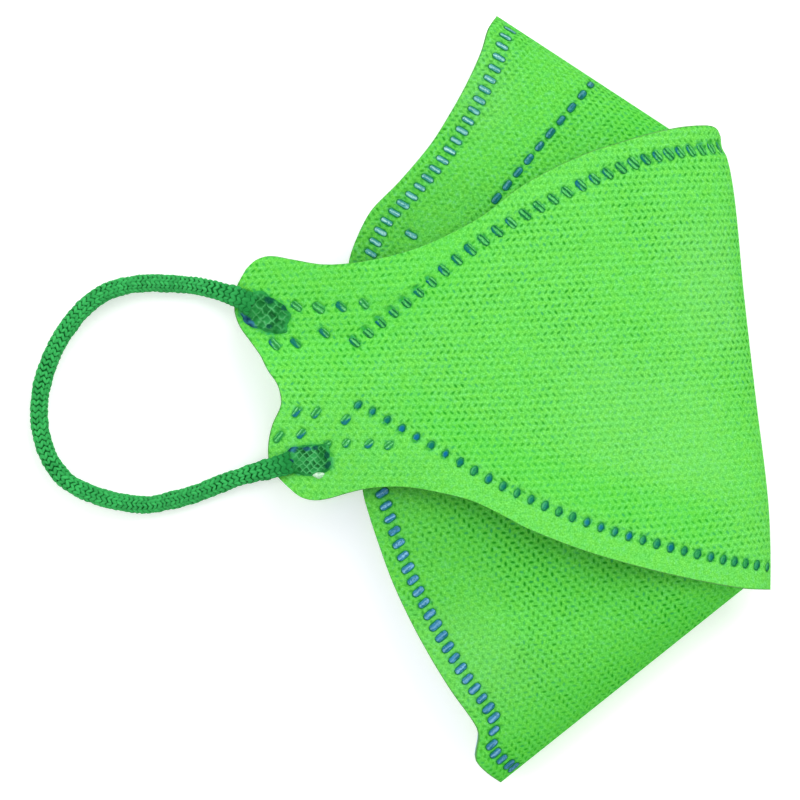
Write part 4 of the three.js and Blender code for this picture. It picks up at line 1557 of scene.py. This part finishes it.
def pressed_end(name, node, x, y, length, width, heading, side, cell, stains, seed):
    """One pressed end on its tab. cell is the size of the net's diamonds."""
    turn = math.radians(heading)
    out = np.linspace(-1, 1, pad_columns)[None, :]
    over = np.linspace(-1, 1, pad_rows)[:, None]
    round_out = out * np.sqrt(1 - over**2 / 2)
    round_over = over * np.sqrt(1 - out**2 / 2)
    edge = np.hypot(round_out, round_over)
    outline = pad_outline(np.arctan2(round_over, round_out), seed)
    along = round_out * outline * length / 2
    sideways = round_over * outline * width / 2
    px = x + along * math.cos(turn) - sideways * math.sin(turn)
    py = y + along * math.sin(turn) + sideways * math.cos(turn)
    pit, net = diamond_net(px, py, cell, seed)
    knitted = eased(-along, length * 0.12, length * 0.36)
    pit = pit * (1 - 0.8 * knitted) * (1 - 0.6 * eased(edge, 0.80, 0.98))
    net = net * (1 - 0.75 * knitted) * (1 - eased(edge, 0.78, 0.95))
    crown = 0.55 + 0.30 * knitted - 0.34 * pit + 0.08 * net + 0.05 * rough(px * 1.3, py * 1.3, seed)
    height = 0.02 + crown * (1 - eased(edge, 0.84, 1.0) * 0.92)
    stain = np.zeros_like(px)
    blueness = np.zeros_like(px)
    for sx, sy, reach, narrow, lean, blue in stains:
        spot_along, spot_across = turned(px - sx, py - sy, lean)
        away = np.hypot(spot_along / reach, spot_across / narrow)
        away = away + 0.18 * rough(px * 1.6, py * 1.6, seed + 1)
        blueness = np.where(away < 1.2, blue, blueness)
        stain = np.maximum(stain, 1 - eased(away, 0.6, 1.15))
    tab_along = side * along_at(fold_x(py) - px)
    top = centre_point(tab_along, py, -height)
    bottom = centre_point(tab_along, py, 0.12)
    count = pad_rows * pad_columns
    cells, rim = grid_of(np.arange(count).reshape(pad_rows, pad_columns))
    walls = [
        [rim[(i + 1) % len(rim)], rim[i], rim[i] + count, rim[(i + 1) % len(rim)] + count]
        for i in range(len(rim))
    ]
    faces = cells.tolist() + (cells[:, ::-1] + count).tolist() + walls
    if side < 0:
        faces = [face[::-1] for face in faces]
    points = (np.concatenate([top.reshape(-1, 3), bottom.reshape(-1, 3)]) + pattern_place) * mm
    mesh = bpy.data.meshes.new(name)
    mesh.from_pydata(points.tolist(), [], faces)
    mesh.materials.append(pressed_knitting)
    for extra, values in (("pit", pit), ("net", net), ("stain", stain), ("blueness", blueness)):
        at_points(mesh, extra, np.tile(values.ravel(), 2))
    mesh.shade_smooth()
    pad = new_piece(name, mesh)
    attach(pad, "root")
    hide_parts(node)


nose_end_stains = [  # middle, reach, width, lean in degrees and blueness
    (-48.7, 15.2, 2.2, 0.85, -42, 1.0), (-44.5, 19.2, 1.1, 0.8, 0, 0.0),
    (-41.6, 17.8, 0.8, 0.7, 0, 0.0), (-44.6, 14.2, 0.6, 0.5, 0, 0.0),
]
chin_end_stains = [
    (-40.5, -8.8, 1.5, 1.0, -10, 0.9), (-37.4, -9.1, 0.9, 0.5, 0, 0.5),
    (-35.7, -8.9, 0.6, 0.5, 0, 0.1), (-40.3, -11.4, 0.5, 0.4, 0, 0.7),
    (-33.4, -12.2, 0.9, 0.5, 60, 0.0), (-33.6, -10.3, 0.5, 0.8, 0, 0.0),
]
for which, side in (("far", -1), ("near", 1)):
    pressed_end(
        which + "_pressed_nose_end", which + "_weld_nose_end", *pads_on_tab["nose"],
        side=side, cell=1.45, stains=nose_end_stains, seed=2.0,
    )
    pressed_end(
        which + "_pressed_chin_end", which + "_weld_chin_end", *pads_on_tab["chin"],
        side=side, cell=0.98, stains=chin_end_stains, seed=5.0,
    )


# Where the near chin end was pressed, a little clear elastic was squeezed out at its lower edge and
# set there as a pale glossy bead.
def bead_finish():
    bead = Finish("set_elastic")
    place = bead.place()
    cloudy = bead.noise(place, 900.0, 3.0, 0.6)
    milky = bead.mixed(bead.eased(cloudy, 0.35, 0.65), (0.28, 0.58, 0.32, 1), (0.66, 0.84, 0.68, 1))
    return bead.done({
        "Base Color": milky,
        "Roughness": 0.16 + cloudy * 0.2,
        "Specular IOR Level": 0.5,
        "Normal": bead.bump(cloudy, 0.0001, 0.4),
    })


bead_place = (-35.3, -14.1)
bead_length, bead_width, bead_height = 2.5, 1.3, 0.55
bead_bend = 0.25
bead_floor = -0.4  # its underside is flat, a little way into the cloth
bead_form = bmesh.new()
bmesh.ops.create_icosphere(bead_form, subdivisions=4, radius=1.0)
for point in bead_form.verts:
    x, y, z = point.co
    swell = 1 + 0.12 * math.sin(3 * x + 1) + 0.08 * math.cos(4 * y - x)
    flat_x = bead_place[0] + x * bead_length / 2 * swell
    flat_y = bead_place[1] + (y + bead_bend * x * x) * bead_width / 2 * swell
    on_tab = along_at(fold_x(flat_y) - flat_x)
    lifted = -bead_height * max(z, bead_floor) * swell
    point.co = Vector((centre_point(on_tab, flat_y, lifted) + pattern_place) * mm)
bead_mesh = bpy.data.meshes.new("melted_bead")
bead_form.to_mesh(bead_mesh)
bead_form.free()
bead_mesh.shade_smooth()
bead_mesh.materials.append(bead_finish())
melted_bead = new_piece("melted_bead", bead_mesh)
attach(melted_bead, "root")
